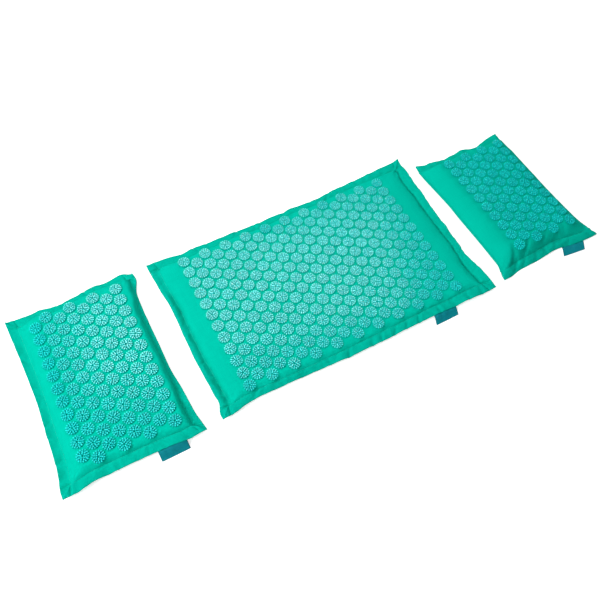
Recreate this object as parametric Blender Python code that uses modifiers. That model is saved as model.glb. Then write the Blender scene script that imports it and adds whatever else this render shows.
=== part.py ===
"""Acupressure set: a padded mat with a flat pillow on its left and a neck pillow on its right.

Each cushion has a top panel, a bottom panel, a foam core, a bare label and columns of spiked discs.
Lengths are in metres, +Z is up, and the origin is the middle of the mat's underside.
"""

from dataclasses import dataclass
from math import cos, pi, radians, sqrt

import bmesh
import bpy
from mathutils import Matrix, Vector

# The mat, with its length along X and its width along Y, both over the flanges
MAT_LENGTH = 0.660
MAT_WIDTH = 0.400
MAT_THICKNESS = 0.0165
MAT_CROWN = 0.0015
MAT_SEAM_HEIGHT = 0.007
# Widths of the rounded shoulders and pulls of the mid edges, for left, right, front and back
MAT_SHOULDERS = (0.022, 0.026, 0.009, 0.009)
MAT_DRAWS = (0.004, 0.007, 0.005, 0.006)
# How far each corner is pulled in X, Y and Z, by the signs of its place
MAT_PULLS = {(1, 1): (0.002, 0.005, 0.008), (-1, 1): (0.0, 0.002, 0.0), (1, -1): (0.0, -0.001, 0.0)}
MAT_DISCS_MIDDLE = (-0.009, -0.003)
MAT_LABEL_MIDDLE = 0.190
MAT_LABEL_SKEW_SHARE = 0.25

# The flat pillow, which lies off the mat's left end
FLAT_WIDTH = 0.277
FLAT_LENGTH = 0.397
FLAT_THICKNESS = 0.023
FLAT_CROWN = 0.002
FLAT_SEAM_HEIGHT = 0.008
FLAT_SHOULDERS = (0.020, 0.016, 0.010, 0.012)
FLAT_DRAWS = (0.009, 0.011, 0.003, 0.006)
FLAT_PULLS = {(1, 1): (0.0, 0.002, 0.004), (-1, 1): (0.0, 0.005, 0.0), (-1, -1): (-0.002, 0.0, 0.0)}
FLAT_DISCS_MIDDLE = (0.005, -0.003)
FLAT_LABEL_MIDDLE = 0.070
FLAT_LABEL_SKEW_SHARE = 0.0
FLAT_GAP = 0.039
FLAT_SHIFT = -0.001
FLAT_TURN = radians(-0.3)

# The neck pillow, which lies off the mat's right end and is folded, not flanged, at its long sides
NECK_WIDTH = 0.262
NECK_LENGTH = 0.364
NECK_THICKNESS = 0.033
NECK_CROWN = 0.004
NECK_SEAM_HEIGHT = 0.009
NECK_SHOULDERS = (0.044, 0.024, 0.016, 0.016)
NECK_DRAWS = (0.001, 0.018, 0.004, 0.010)
NECK_PULLS = {
    (1, 1): (-0.008, 0.004, 0.0),
    (-1, 1): (0.005, 0.004, 0.0),
    (-1, -1): (-0.004, 0.003, 0.0),
    (1, -1): (0.008, 0.0, 0.0),
}
NECK_DISCS_MIDDLE = (0.004, -0.002)
NECK_LABEL_MIDDLE = 0.064
NECK_LABEL_SKEW_SHARE = 0.45
NECK_GAP = 0.031
NECK_SHIFT = -0.012
NECK_TURN = radians(1.0)

# Cloth, seams and the clearance that touching pieces keep
CLOTH = 0.001
CLEARANCE = 0.0003
FLANGE = 0.019
FLANGE_DROOP = 0.003
FOLD_HALF_GAP = 0.0005
UNDER_SHOULDER = 0.010
FOAM_INSET = 0.003

# One spiked disc: the solid is the envelope of its plate and spikes
DISC_RADIUS = 0.0135
DISC_TIP_RADIUS = 0.0125
DISC_HEIGHT = 0.0045
COLUMN_PITCH = 0.02495
ROW_PITCH = 0.0296
DISC_SIDES = 8

# The label, a folded strip that is tucked under the front flange
LABEL_WIDTH = 0.057
LABEL_DROP = 0.022
LABEL_TUCK = 0.007
LABEL_THICKNESS = 0.0008
CUT_OVERRUN = 0.004

# Where the grid lines of a rounded shoulder fall, as shares of its width
SHOULDER_LINE_SHARES = (0.0, 0.12, 0.42, 1.0)
# How a side's draw and a corner's pull fade away from them, as powers of the way out
DRAW_POWER = 3
CORNER_POWER = 3
PLACE_STEPS = 5
# Where a disc's tilt is read, and the rings of points that it is seated on, as shares of its radius
TILT_REACH_SHARE = 0.5
SEAT_RING_SHARES = (0.3, 0.55, 0.8, 1.04)
SEAT_RING_POINTS = 24

LEFT, RIGHT, FRONT, BACK = range(4)


@dataclass
class Discs:
    """A field of discs in columns along Y, every other column half a pitch out of step."""

    columns: int
    most_rows: int
    first_is_long: bool
    middle: tuple


@dataclass
class Cushion:
    """One padded piece: its outline, its height over the floor and what it carries."""

    name: str
    width: float
    depth: float
    thickness: float
    crown: float
    seam_height: float
    flanges: tuple
    shoulders: tuple
    draws: tuple
    pulls: dict
    inner_lines: tuple
    discs: Discs
    label_middle: float
    label_skew_share: float
    centre: tuple
    turn: float

    def seams(self, axis):
        """The low and high seam line across one axis: 0 for X, 1 for Y."""
        half = (self.width, self.depth)[axis] / 2
        return -half + self.flanges[2 * axis], half - self.flanges[2 * axis + 1]

    def lines(self, axis, inset=0.0):
        """Grid lines across one axis: flange edges, seams, shoulder steps and the plateau between."""
        half = (self.width, self.depth)[axis] / 2
        low, high = self.seams(axis)
        low_shoulder, high_shoulder = self.shoulders[2 * axis : 2 * axis + 2]
        found = [low + inset + low_shoulder * share for share in SHOULDER_LINE_SHARES]
        tops = [high - inset - high_shoulder * share for share in reversed(SHOULDER_LINE_SHARES)]
        count = self.inner_lines[axis]
        step = (tops[0] - found[-1]) / (count + 1)
        found += [found[-1] + step * (n + 1) for n in range(count)] + tops
        if not inset and self.flanges[2 * axis]:
            found.insert(0, -half)
        if not inset and self.flanges[2 * axis + 1]:
            found.append(half)
        return found

    def rise(self, axis, along, inset=0.0, shoulders=None):
        """0 at the seams, 1 on the plateau, and a quarter ellipse up each shoulder between."""
        low, high = self.seams(axis)
        widths = shoulders or self.shoulders[2 * axis : 2 * axis + 2]
        height = 1.0
        for distance, width in zip((along - low - inset, high - inset - along), widths):
            way = min(max(distance / width, 0.0), 1.0)
            height *= sqrt(1 - (1 - way) ** 2)
        return height

    def dome(self, x, y):
        return (1 - (2 * x / self.width) ** 2) * (1 - (2 * y / self.depth) ** 2)

    def droop(self, x, y):
        """How far the flange has sagged below the seam, at its full width FLANGE_DROOP."""
        beyond = 0.0
        for axis, along in enumerate((x, y)):
            low, high = self.seams(axis)
            beyond = max(beyond, low - along, along - high)
        return FLANGE_DROOP * min(beyond / FLANGE, 1.0)

    def way_out(self, axis, along):
        """0 on the plateau and 1 at the outer edge of the side that this point is nearest to."""
        half = (self.width, self.depth)[axis] / 2
        side = 2 * axis + (along > 0)
        plateau = half - self.flanges[side] - self.shoulders[side]
        return max((abs(along) - plateau) / (half - plateau), 0.0)

    def corner_pull(self, x, y):
        """How far this point follows its corner: all the way there, and not at all on the plateau."""
        pull = self.pulls.get((1 if x > 0 else -1, 1 if y > 0 else -1), (0.0, 0.0, 0.0))
        along_back = self.way_out(1, y) * abs(2 * x / self.width) ** CORNER_POWER
        along_side = self.way_out(0, x) * abs(2 * y / self.depth) ** CORNER_POWER
        return [step * max(along_back, along_side) for step in pull]

    def place(self, x, y):
        """Where a point of the straight outline goes once sides are drawn in and corners pulled."""
        moved = self.corner_pull(x, y)[:2]
        sizes = (self.width, self.depth)
        for axis, along, across in ((0, x, y), (1, y, x)):
            draw = self.draws[2 * axis + (along > 0)] * (2 * along / sizes[axis]) ** DRAW_POWER
            moved[axis] += along - draw * (1 - (2 * across / sizes[1 - axis]) ** 2)
        return moved

    def on_fold(self, x, y):
        """True on a side edge that is folded round and has no flange."""
        low, high = self.seams(0)
        front, back = self.seams(1)
        left_fold = not self.flanges[LEFT] and x <= low
        right_fold = not self.flanges[RIGHT] and x >= high
        return (left_fold or right_fold) and front < y < back

    def top(self, x, y):
        """Height of the top panel's outer face."""
        if self.on_fold(x, y):
            return self.seam_height + FOLD_HALF_GAP
        base = self.seam_height + CLEARANCE / 2 + CLOTH
        shape = self.rise(0, x) * self.rise(1, y)
        swell = (self.thickness - base + self.crown * self.dome(x, y)) * shape
        return base + swell - self.droop(x, y) + self.corner_pull(x, y)[2]

    def top_at(self, x, y):
        """Height of the top panel over a real point, found by undoing place step by step."""
        straight_x, straight_y = x, y
        for _ in range(PLACE_STEPS):
            moved = self.place(straight_x, straight_y)
            straight_x += x - moved[0]
            straight_y += y - moved[1]
        return self.top(straight_x, straight_y)

    def bottom(self, x, y):
        """Height of the bottom panel's outer face, which is flat on the floor inside its shoulders."""
        if self.on_fold(x, y):
            return self.seam_height - FOLD_HALF_GAP
        base = self.seam_height - CLEARANCE / 2 - CLOTH
        under = (UNDER_SHOULDER, UNDER_SHOULDER)
        shape = self.rise(0, x, shoulders=under) * self.rise(1, y, shoulders=under)
        return (base - self.droop(x, y) + self.corner_pull(x, y)[2]) * (1 - shape)


def clear_scene():
    for obj in list(bpy.data.objects):
        bpy.data.objects.remove(obj, do_unlink=True)


def make_collection(name):
    collection = bpy.data.collections.new(name)
    bpy.context.scene.collection.children.link(collection)
    return collection


def material(name, colour, roughness):
    made = bpy.data.materials.new(name)
    made.use_nodes = True
    shader = made.node_tree.nodes["Principled BSDF"]
    shader.inputs["Base Color"].default_value = (*colour, 1.0)
    shader.inputs["Roughness"].default_value = roughness
    made.diffuse_color = (*colour, 1.0)
    return made


def add_object(name, bm, collection, parent=None, surface=None):
    """Turns a bmesh into a named object, under the empty that places its cushion."""
    mesh = bpy.data.meshes.new(name)
    bm.to_mesh(mesh)
    bm.free()
    obj = bpy.data.objects.new(name, mesh)
    if surface:
        mesh.materials.append(surface)
    collection.objects.link(obj)
    obj.parent = parent
    return obj


def line_grid(x_lines, y_lines):
    """A flat grid whose vertices stand on the given lines."""
    bm = bmesh.new()
    across, along = len(x_lines) - 1, len(y_lines) - 1
    bmesh.ops.create_grid(bm, x_segments=across, y_segments=along, size=1.0)
    for vert in bm.verts:
        column = round((vert.co.x + 1) / 2 * across)
        row = round((vert.co.y + 1) / 2 * along)
        vert.co = (x_lines[column], y_lines[row], 0.0)
    return bm


def solidify(obj, thickness, offset):
    modifier = obj.modifiers.new("thickness", "SOLIDIFY")
    modifier.thickness = thickness
    modifier.offset = offset
    modifier.use_even_offset = True


def panel(cushion, which, collection, parent, surface):
    """The top or bottom panel: a shaped sheet of cloth with its thickness on the inner side."""
    bm = line_grid(cushion.lines(0), cushion.lines(1))
    height = cushion.top if which == "top" else cushion.bottom
    for vert in bm.verts:
        x, y = vert.co.xy
        vert.co = (*cushion.place(x, y), height(x, y))
    obj = add_object(f"{cushion.name}_{which}_panel", bm, collection, parent, surface)
    # The grid's faces look up, so the top's cloth goes behind them and the bottom's before them
    solidify(obj, CLOTH, -1 if which == "top" else 1)
    return obj


def foam(cushion, collection, parent, surface):
    """The foam core, which fills the two panels up to the clearance."""
    x_lines, y_lines = cushion.lines(0, FOAM_INSET), cushion.lines(1, FOAM_INSET)
    bm = line_grid(x_lines, y_lines)
    made = bmesh.ops.extrude_face_region(bm, geom=list(bm.faces))
    upper = {element for element in made["geom"] if isinstance(element, bmesh.types.BMVert)}
    edge = CLEARANCE / 2
    under = (UNDER_SHOULDER, UNDER_SHOULDER)
    skin = CLOTH + CLEARANCE
    for vert in bm.verts:
        x, y = vert.co.xy
        if vert in upper:
            shape = cushion.rise(0, x, FOAM_INSET) * cushion.rise(1, y, FOAM_INSET)
            low = cushion.seam_height + edge
            z = low + (cushion.thickness - skin - low + cushion.crown * cushion.dome(x, y)) * shape
        else:
            shape = cushion.rise(0, x, FOAM_INSET, under) * cushion.rise(1, y, FOAM_INSET, under)
            low = cushion.seam_height - edge
            z = skin + (low - skin) * (1 - shape)
        vert.co = (*cushion.place(x, y), z)
    bmesh.ops.recalc_face_normals(bm, faces=bm.faces)
    return add_object(f"{cushion.name}_foam", bm, collection, parent, surface)


def disc_frame(cushion, x, y):
    """The matrix that seats a disc on the top panel: tilted with the cloth and just clear of it."""
    reach = DISC_RADIUS * TILT_REACH_SHARE
    slope_x = (cushion.top_at(x + reach, y) - cushion.top_at(x - reach, y)) / (2 * reach)
    slope_y = (cushion.top_at(x, y + reach) - cushion.top_at(x, y - reach)) / (2 * reach)
    normal = Vector((-slope_x, -slope_y, 1.0)).normalized()
    across = Vector((0.0, 1.0, 0.0)).cross(normal).normalized()
    turn = Matrix((across, normal.cross(across), normal)).transposed()
    centre = Vector((x, y, cushion.top_at(x, y)))
    highest = 0.0
    for share in SEAT_RING_SHARES:
        for step in range(SEAT_RING_POINTS):
            spin = Matrix.Rotation(2 * pi * step / SEAT_RING_POINTS, 3, "Z")
            point = centre + turn @ spin @ Vector((DISC_RADIUS * share, 0.0, 0.0))
            highest = max(highest, (cushion.top_at(point.x, point.y) - point.z) * normal.z)
    middle = centre + normal * (highest + CLEARANCE + DISC_HEIGHT / 2)
    return Matrix.Translation(middle) @ turn.to_4x4()


def disc_column(cushion, column, collection, parent, surface):
    """One column of discs, linked side to side so that the column is one solid."""
    discs = cushion.discs
    is_long = (column % 2 == 0) == discs.first_is_long
    count = discs.most_rows if is_long else discs.most_rows - 1
    x = discs.middle[0] + (column - (discs.columns - 1) / 2) * COLUMN_PITCH
    bm = bmesh.new()
    square_on = Matrix.Rotation(pi / DISC_SIDES, 4, "Z")
    ends = []
    for row in range(count):
        y = discs.middle[1] + ((count - 1) / 2 - row) * ROW_PITCH
        before = set(bm.faces)
        bmesh.ops.create_cone(
            bm,
            cap_ends=True,
            segments=DISC_SIDES,
            radius1=DISC_RADIUS / cos(pi / DISC_SIDES),
            radius2=DISC_TIP_RADIUS / cos(pi / DISC_SIDES),
            depth=DISC_HEIGHT,
            matrix=disc_frame(cushion, x, y) @ square_on,
        )
        sides = sorted(set(bm.faces) - before, key=lambda face: face.calc_center_median().y)
        ends.append((sides[-1], sides[0]))
    for (_, front), (back, _) in zip(ends, ends[1:]):
        loops = list(front.edges) + list(back.edges)
        bmesh.ops.delete(bm, geom=[front, back], context="FACES_ONLY")
        bmesh.ops.bridge_loops(bm, edges=loops)
    bmesh.ops.recalc_face_normals(bm, faces=bm.faces)
    name = f"{cushion.name}_discs_{column + 1:02d}"
    return add_object(name, bm, collection, parent, surface)


def label_root(cushion, y):
    """Height of the middle of the front flange's lower layer."""
    return cushion.seam_height - CLEARANCE / 2 - CLOTH / 2 - cushion.droop(0.0, y)


def label_centre(cushion):
    x = cushion.label_middle
    return x, cushion.place(x, -cushion.depth / 2)[1]


def label(cushion, collection, parent, surface):
    """The label: tucked into the bottom panel's flange, then falling to the floor."""
    x, edge = label_centre(cushion)
    root, tip = edge + LABEL_TUCK, edge - LABEL_DROP
    floor = LABEL_THICKNESS / 2 + CLEARANCE
    lines = [tip, edge - LABEL_DROP / 2, edge - CLEARANCE, root]
    straight = -cushion.depth / 2
    out = label_root(cushion, straight)
    heights = [floor, (floor + out) / 2, out, label_root(cushion, straight + LABEL_TUCK)]
    bm = line_grid([x - LABEL_WIDTH / 2, x + LABEL_WIDTH / 2], lines)
    for vert in bm.verts:
        nearest = min(range(len(lines)), key=lambda n: abs(lines[n] - vert.co.y))
        vert.co.z = heights[nearest]
        vert.co.x += cushion.label_skew_share * min(vert.co.y - edge, 0.0)
    obj = add_object(f"{cushion.name}_label", bm, collection, parent, surface)
    solidify(obj, LABEL_THICKNESS, 0)
    return obj


def label_pocket(cushion, bottom_panel, cutters, parent):
    """Cuts the bottom panel's flange back to make room for the label's tucked end."""
    x, edge = label_centre(cushion)
    width = LABEL_WIDTH + 2 * CLEARANCE
    depth = LABEL_TUCK + CLEARANCE + CUT_OVERRUN
    height = 2 * (cushion.seam_height + CUT_OVERRUN)
    bm = bmesh.new()
    bmesh.ops.create_cube(bm, size=1.0)
    bmesh.ops.scale(bm, vec=(width, depth, height), verts=bm.verts)
    middle = Vector((x, edge + (LABEL_TUCK + CLEARANCE - CUT_OVERRUN) / 2, 0.0))
    bmesh.ops.translate(bm, vec=middle, verts=bm.verts)
    cutter = add_object(f"{cushion.name}_label_pocket_cutter", bm, cutters, parent)
    cutter.hide_render = True
    cutter.display_type = "WIRE"
    cut = bottom_panel.modifiers.new("label pocket", "BOOLEAN")
    cut.operation = "DIFFERENCE"
    cut.solver = "EXACT"
    cut.object = cutter


def mat_cushion():
    return Cushion(
        name="mat",
        width=MAT_LENGTH,
        depth=MAT_WIDTH,
        thickness=MAT_THICKNESS,
        crown=MAT_CROWN,
        seam_height=MAT_SEAM_HEIGHT,
        flanges=(FLANGE, FLANGE, FLANGE, FLANGE),
        shoulders=MAT_SHOULDERS,
        draws=MAT_DRAWS,
        pulls=MAT_PULLS,
        inner_lines=(5, 3),
        discs=Discs(columns=21, most_rows=12, first_is_long=True, middle=MAT_DISCS_MIDDLE),
        label_middle=MAT_LABEL_MIDDLE,
        label_skew_share=MAT_LABEL_SKEW_SHARE,
        centre=(0.0, 0.0),
        turn=0.0,
    )


def flat_pillow_cushion():
    return Cushion(
        name="flat_pillow",
        width=FLAT_WIDTH,
        depth=FLAT_LENGTH,
        thickness=FLAT_THICKNESS,
        crown=FLAT_CROWN,
        seam_height=FLAT_SEAM_HEIGHT,
        flanges=(FLANGE, FLANGE, FLANGE, FLANGE),
        shoulders=FLAT_SHOULDERS,
        draws=FLAT_DRAWS,
        pulls=FLAT_PULLS,
        inner_lines=(3, 3),
        discs=Discs(columns=8, most_rows=12, first_is_long=False, middle=FLAT_DISCS_MIDDLE),
        label_middle=FLAT_LABEL_MIDDLE,
        label_skew_share=FLAT_LABEL_SKEW_SHARE,
        centre=(-(MAT_LENGTH + FLAT_WIDTH) / 2 - FLAT_GAP, FLAT_SHIFT),
        turn=FLAT_TURN,
    )


def neck_pillow_cushion():
    return Cushion(
        name="neck_pillow",
        width=NECK_WIDTH,
        depth=NECK_LENGTH,
        thickness=NECK_THICKNESS,
        crown=NECK_CROWN,
        seam_height=NECK_SEAM_HEIGHT,
        flanges=(0.0, 0.0, FLANGE, FLANGE),
        shoulders=NECK_SHOULDERS,
        draws=NECK_DRAWS,
        pulls=NECK_PULLS,
        inner_lines=(3, 3),
        discs=Discs(columns=7, most_rows=10, first_is_long=True, middle=NECK_DISCS_MIDDLE),
        label_middle=NECK_LABEL_MIDDLE,
        label_skew_share=NECK_LABEL_SKEW_SHARE,
        centre=((MAT_LENGTH + NECK_WIDTH) / 2 + NECK_GAP, NECK_SHIFT),
        turn=NECK_TURN,
    )


def build_cushion(cushion, collection, cutters, surfaces):
    place = bpy.data.objects.new(f"{cushion.name}_place", None)
    collection.objects.link(place)
    place.location = (*cushion.centre, 0.0)
    place.rotation_euler.z = cushion.turn
    panel(cushion, "top", collection, place, surfaces["cover"])
    bottom_panel = panel(cushion, "bottom", collection, place, surfaces["underside"])
    foam(cushion, collection, place, surfaces["foam"])
    label(cushion, collection, place, surfaces["label"])
    label_pocket(cushion, bottom_panel, cutters, place)
    for column in range(cushion.discs.columns):
        disc_column(cushion, column, collection, place, surfaces["discs"])


def main():
    clear_scene()
    collection = make_collection("acupressure_set")
    cutters = make_collection("cutters")
    surfaces = {
        "cover": material("cover_cotton", (0.0, 0.55, 0.42), 0.85),
        "underside": material("underside_cotton", (0.0, 0.50, 0.38), 0.9),
        "foam": material("foam", (0.85, 0.83, 0.76), 0.95),
        "label": material("label_satin", (0.0, 0.22, 0.26), 0.6),
        "discs": material("disc_plastic", (0.18, 0.72, 0.72), 0.35),
    }
    for cushion in (mat_cushion(), flat_pillow_cushion(), neck_pillow_cushion()):
        build_cushion(cushion, collection, cutters, surfaces)


main()
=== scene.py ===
"""Acupressure set, dressed: cotton covers, foam cores, spiked discs, seam stitching and bare labels.

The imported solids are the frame. Lengths are in metres, +Z is up, and the origin is the middle of the
mat's underside, as in the frame.
"""

import math
import random
from dataclasses import dataclass

import bmesh
import bpy
import numpy as np
from mathutils import Matrix, Vector
from mathutils.bvhtree import BVHTree

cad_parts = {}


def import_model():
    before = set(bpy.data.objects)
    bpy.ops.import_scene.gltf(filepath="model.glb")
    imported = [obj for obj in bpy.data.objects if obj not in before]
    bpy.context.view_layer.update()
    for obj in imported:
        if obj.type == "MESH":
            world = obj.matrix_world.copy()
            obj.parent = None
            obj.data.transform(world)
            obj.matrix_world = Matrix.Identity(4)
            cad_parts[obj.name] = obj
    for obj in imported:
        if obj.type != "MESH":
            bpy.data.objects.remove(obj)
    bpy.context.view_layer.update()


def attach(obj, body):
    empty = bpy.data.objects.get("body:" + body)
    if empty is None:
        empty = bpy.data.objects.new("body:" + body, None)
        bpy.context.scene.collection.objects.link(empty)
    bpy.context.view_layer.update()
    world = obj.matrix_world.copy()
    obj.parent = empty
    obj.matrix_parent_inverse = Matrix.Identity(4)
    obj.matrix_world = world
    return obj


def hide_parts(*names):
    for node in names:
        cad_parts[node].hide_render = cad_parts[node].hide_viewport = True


bl_info = {
    "name": "Acupressure Set",
    "version": (1, 0, 0),
    "blender": (4, 5, 0),
    "location": "View3D > Sidebar > Acupressure",
    "description": "Builds the mat and its two pillows around the packed frame",
    "category": "Object",
}

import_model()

# Cloth and seams, as in the frame's solids
CLOTH = 0.001
LAYER_GAP = 0.0003
FLANGE = 0.019
UNDER_SHOULDER = 0.010
# One disc and the grid that the discs stand on
DISC_RADIUS = 0.0135
COLUMN_PITCH = 0.02495
ROW_PITCH = 0.0296
# A label's width, and how much of its length is sewn in
LABEL_WIDTH = 0.057
LABEL_TUCK = 0.007
# Lines of a cover's grid
SHOULDER_STEPS = 12
CLOTH_STEP = 0.0026
FLANGE_STEP = 0.0016
SEAM_STEP = 0.001
EDGE_LINES = (0.0, 0.0005, 0.0011)
FLAT_MARGIN = 0.002
# How far the bends of an edge and the tucks of a seam reach inward, and how softly their knots are joined
BEND_REACH = 0.055
BEND_SOFTNESS = 0.010
TUCK_REACH = 0.035
TUCK_SOFTNESS = 0.012
CORNER_BLEND = 0.008
SEAM_ROUND = 0.012
EDGE_ROUND = 0.0006
# How a disc holds the cloth under it flat, and the painted shade on the cloth beside it
PRESSED_RADIUS = 0.0155
PRESSED_FADE = 0.0035
PRESSED_SHARE = 0.9
DISC_SHADE_REACH = 0.009
SLOPE_STEP = 0.002
# The foam's distance from its cover
CORE_INSET = 0.008
CORE_DRAW = 0.004
CORE_SKIN = 0.0030
CORE_SLOPE_STEPS = 6
CORE_STEP = 0.012
CORE_CREASE_ROOM = 0.006
CORE_FLOOR_GAP = 0.0002
CORE_THINNEST = 0.0004
# Where the cloth solver leaves the cloth free: from a seam outward, up the slope and round a disc
FREE_START = 0.001
FREE_EASE = 0.002
FREE_SLOPE = 0.016
FREE_SLOPE_EASE = 0.006
FREE_DISC_EASE = 0.003
# The cloth solver, and what it gave for each cushion
SETTLE_FRAMES = 20
SETTLE_CAP = 0.0022
SETTLED = {}
CLOTH_SOLVER = {
    "quality": 5,
    "mass": 0.02,
    "tension_stiffness": 12,
    "compression_stiffness": 12,
    "shear_stiffness": 4,
    "bending_stiffness": 0.02,
    "air_damping": 4,
    "vertex_group_mass": "held",
    "shrink_min": -0.03,
}

VERT, EDGE, FACE = bmesh.types.BMVert, bmesh.types.BMEdge, bmesh.types.BMFace


def unit(values):
    return np.clip(values, 0, 1)


def smooth(share):
    """0 to 1 with soft ends."""
    return share * share * (3 - 2 * share)


def spaced(start, end, step):
    """Evenly spaced values from start to just before end, about a step apart."""
    count = max(1, round(abs(end - start) / step))
    return [start + (end - start) * n / count for n in range(count)]


def quarter_round(start, inward, inset, width, steps):
    """Lines inward from an inset, closest together at their start."""
    turns = [math.pi / 2 * step / steps for step in range(steps + 1)]
    return [start + inward * (inset + width * (1 - math.cos(turn))) for turn in turns]


def wander(along, wavelength, seed):
    """A smooth irregular wave between -1 and 1."""
    dice = random.Random(seed)
    total = np.zeros_like(along)
    for share, weight in ((1.0, 0.5), (0.61, 0.3), (1.83, 0.2)):
        total = total + weight * np.sin(2 * np.pi * along / (wavelength * share) + dice.uniform(0, 2 * math.pi))
    return total


def knotted(knots, along, softness):
    """A distance that changes along a side, with its knots joined by a soft curve."""
    if not knots:
        return np.zeros_like(along)
    places, outs = zip(*knots)
    shifts = np.linspace(-softness, softness, 7)
    return sum(np.interp(along + shift, places, outs) for shift in shifts) / len(shifts)


def millimetres(*sides):
    """The knots of each side, pairs of a place along it and a distance outward, in metres."""
    return tuple(tuple((place / 1000, out / 1000) for place, out in side) for side in sides)


@dataclass
class Roll:
    """How one side is sewn and rolls: its seam's dip and lift, the painted shade along the seam, and its
    flange's crest and fall.

    fade holds pairs of a place along the side and the share of the dip and shade that is left there.
    """

    dip: float = 0.0025
    dip_reach: float = 0.004
    crest: float = 0.001
    crest_at: float = 0.009
    fall: float = 0.002
    wave: float = 0.0012
    shade: float = 0.7
    shade_width: float = 0.0022
    lift: float = 0.0
    fade: tuple = ()


@dataclass
class Cushion:
    """One padded piece, with the same outline, heights and disc field as its solids.

    A value for each side runs left, right, front, back.
    """

    name: str
    width: float
    depth: float
    thickness: float
    crown: float
    seam_height: float
    flanges: tuple
    shoulders: tuple
    draws: tuple
    pulls: dict
    rolls: tuple
    columns: int
    most_rows: int
    first_is_long: bool
    discs_middle: tuple
    label_middle: float
    label_drop: float
    label_skew: float
    centre: tuple
    turn: float
    slopes: tuple
    bends: tuple
    firmness: tuple = (2.3, 2.6, 3.0, 3.0)
    tucks: tuple = ((), (), (), ())
    creases: tuple = ()
    # Lines of painted shade over the cloth
    hollows: tuple = ()
    # Painted shade on the cloth round each disc
    disc_shade: float = 0.0
    # How far the spikes' painted light and shade are stretched round their middle tone
    disc_contrast: float = 1.0
    label_turn: float = 0.0
    seed: int = 1

    @property
    def base(self):
        """The upper cloth's height at the seams."""
        return self.seam_height + LAYER_GAP / 2 + CLOTH

    def half(self, axis):
        return (self.width, self.depth)[axis] / 2

    def seams(self, axis):
        """The low and high seam line across one axis: 0 for X, 1 for Y."""
        half = self.half(axis)
        return -half + self.flanges[2 * axis], half - self.flanges[2 * axis + 1]

    def ends(self, axis):
        """The two sides across one axis, each with the sign of its way outward and its seam line."""
        low, high = self.seams(axis)
        return (2 * axis, -1, low), (2 * axis + 1, 1, high)

    def lines(self, axis):
        """Grid lines across one axis, close together at edges, seams and shoulders."""
        found = [[], []]
        for lines, (side, sign, seam) in zip(found, self.ends(axis)):
            if self.flanges[side]:
                edge = seam + sign * self.flanges[side]
                lines += [edge - sign * inward for inward in EDGE_LINES]
                lines += spaced(edge - sign * 0.002, seam + sign * 0.004, FLANGE_STEP)
                lines += spaced(seam + sign * 0.004, seam, SEAM_STEP)
            lines += quarter_round(seam, -sign, 0.0, self.slopes[side], SHOULDER_STEPS)
        low, high = found
        return np.array(low + spaced(low[-1], high[-1], CLOTH_STEP)[1:] + high[::-1])

    def rise(self, axis, along):
        """0 at the seams, 1 over the flat underside, and a quarter ellipse between."""
        height = np.ones_like(along)
        for _, sign, seam in self.ends(axis):
            way = unit((seam - along) * sign / UNDER_SHOULDER)
            height = height * np.sqrt(1 - (1 - way) ** 2)
        return height

    def inside(self, u, v):
        return self.rise(0, u) * self.rise(1, v)

    def loft(self, u, v):
        """How far the stuffed cloth has risen from its seams: soft slopes instead of the solid's ellipses."""
        height = np.ones_like(u)
        for axis, along in enumerate((u, v)):
            for side, sign, seam in self.ends(axis):
                left = 1 - unit((seam - along) * sign / self.slopes[side])
                height = height * (1 - left ** self.firmness[side])
        return height

    def tuck(self, side, along):
        """How far one seam lies outside the solid's, which leaves less of its flange in sight."""
        return knotted(self.tucks[side], along, TUCK_SOFTNESS)

    def outline(self, u, v):
        """Where a point of the flat pattern lies once the edges have bent."""
        moved = self.place(u, v)
        for axis, along, other in ((0, u, v), (1, v, u)):
            for side, sign, seam in self.ends(axis):
                near = smooth(unit(1 - (seam - along) * sign / BEND_REACH))
                moved[axis] = moved[axis] + sign * near * knotted(self.bends[side], other, BEND_SOFTNESS)
                past = (along - seam) * sign
                beside = smooth(unit(1 - np.where(past > 0, past / FLANGE, -past / TUCK_REACH)))
                moved[axis] = moved[axis] + sign * beside * self.tuck(side, other)
        return moved

    def dome(self, x, y):
        return (1 - (2 * x / self.width) ** 2) * (1 - (2 * y / self.depth) ** 2)

    def beyond(self, x, y):
        """How far each point lies outside the seam lines, and the side that it belongs to."""
        distances, sides = [], []
        for axis, along in enumerate((x, y)):
            low, high = self.seams(axis)
            distances.append(np.maximum(low - along, along - high))
            sides.append(np.where(along > 0, 2 * axis + 1, 2 * axis))
        return distances, sides, smooth(unit((distances[0] - distances[1]) / CORNER_BLEND + 0.5))

    def past_seam(self, distances, sides):
        """How far each point lies outside the seam, which turns its corners in a small arc."""
        square = np.maximum(distances[0], distances[1])
        corner = [np.maximum(distance + SEAM_ROUND, 0) for distance in distances]
        flanges = np.array(self.flanges)
        turns = (corner[0] > 0) & (corner[1] > 0) & (flanges[sides[0]] > 0) & (flanges[sides[1]] > 0)
        return np.where(turns, np.hypot(corner[0], corner[1]) - SEAM_ROUND, square)

    def rolled(self, field, sides, across):
        """One value of the rolls at each point, blended where two sides meet."""
        values = np.array([getattr(roll, field) for roll in self.rolls])
        return across * values[sides[0]] + (1 - across) * values[sides[1]]

    def stuffing(self, u, v):
        """How high the stuffed cloth stands over its seams."""
        loft = self.loft(u, v)
        distances, sides, across = self.beyond(u, v)
        share = unit(np.maximum(distances[0], distances[1]) / FLANGE)
        lift = self.rolled("lift", sides, across) * (1 - 0.6 * share**2)
        return (self.thickness - self.base + self.crown * self.dome(u, v)) * loft + lift * (1 - loft)

    def fading(self, sides, across, u, v):
        """The share of the seam's dip and shade that is left at each point."""
        shares = [np.ones_like(u), np.ones_like(u)]
        for side, roll in enumerate(self.rolls):
            if roll.fade:
                axis, along = side // 2, u if side > 1 else v
                here = np.interp(along, *zip(*roll.fade))
                shares[axis] = np.where(sides[axis] == side, here, shares[axis])
        return across * shares[0] + (1 - across) * shares[1]

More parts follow.
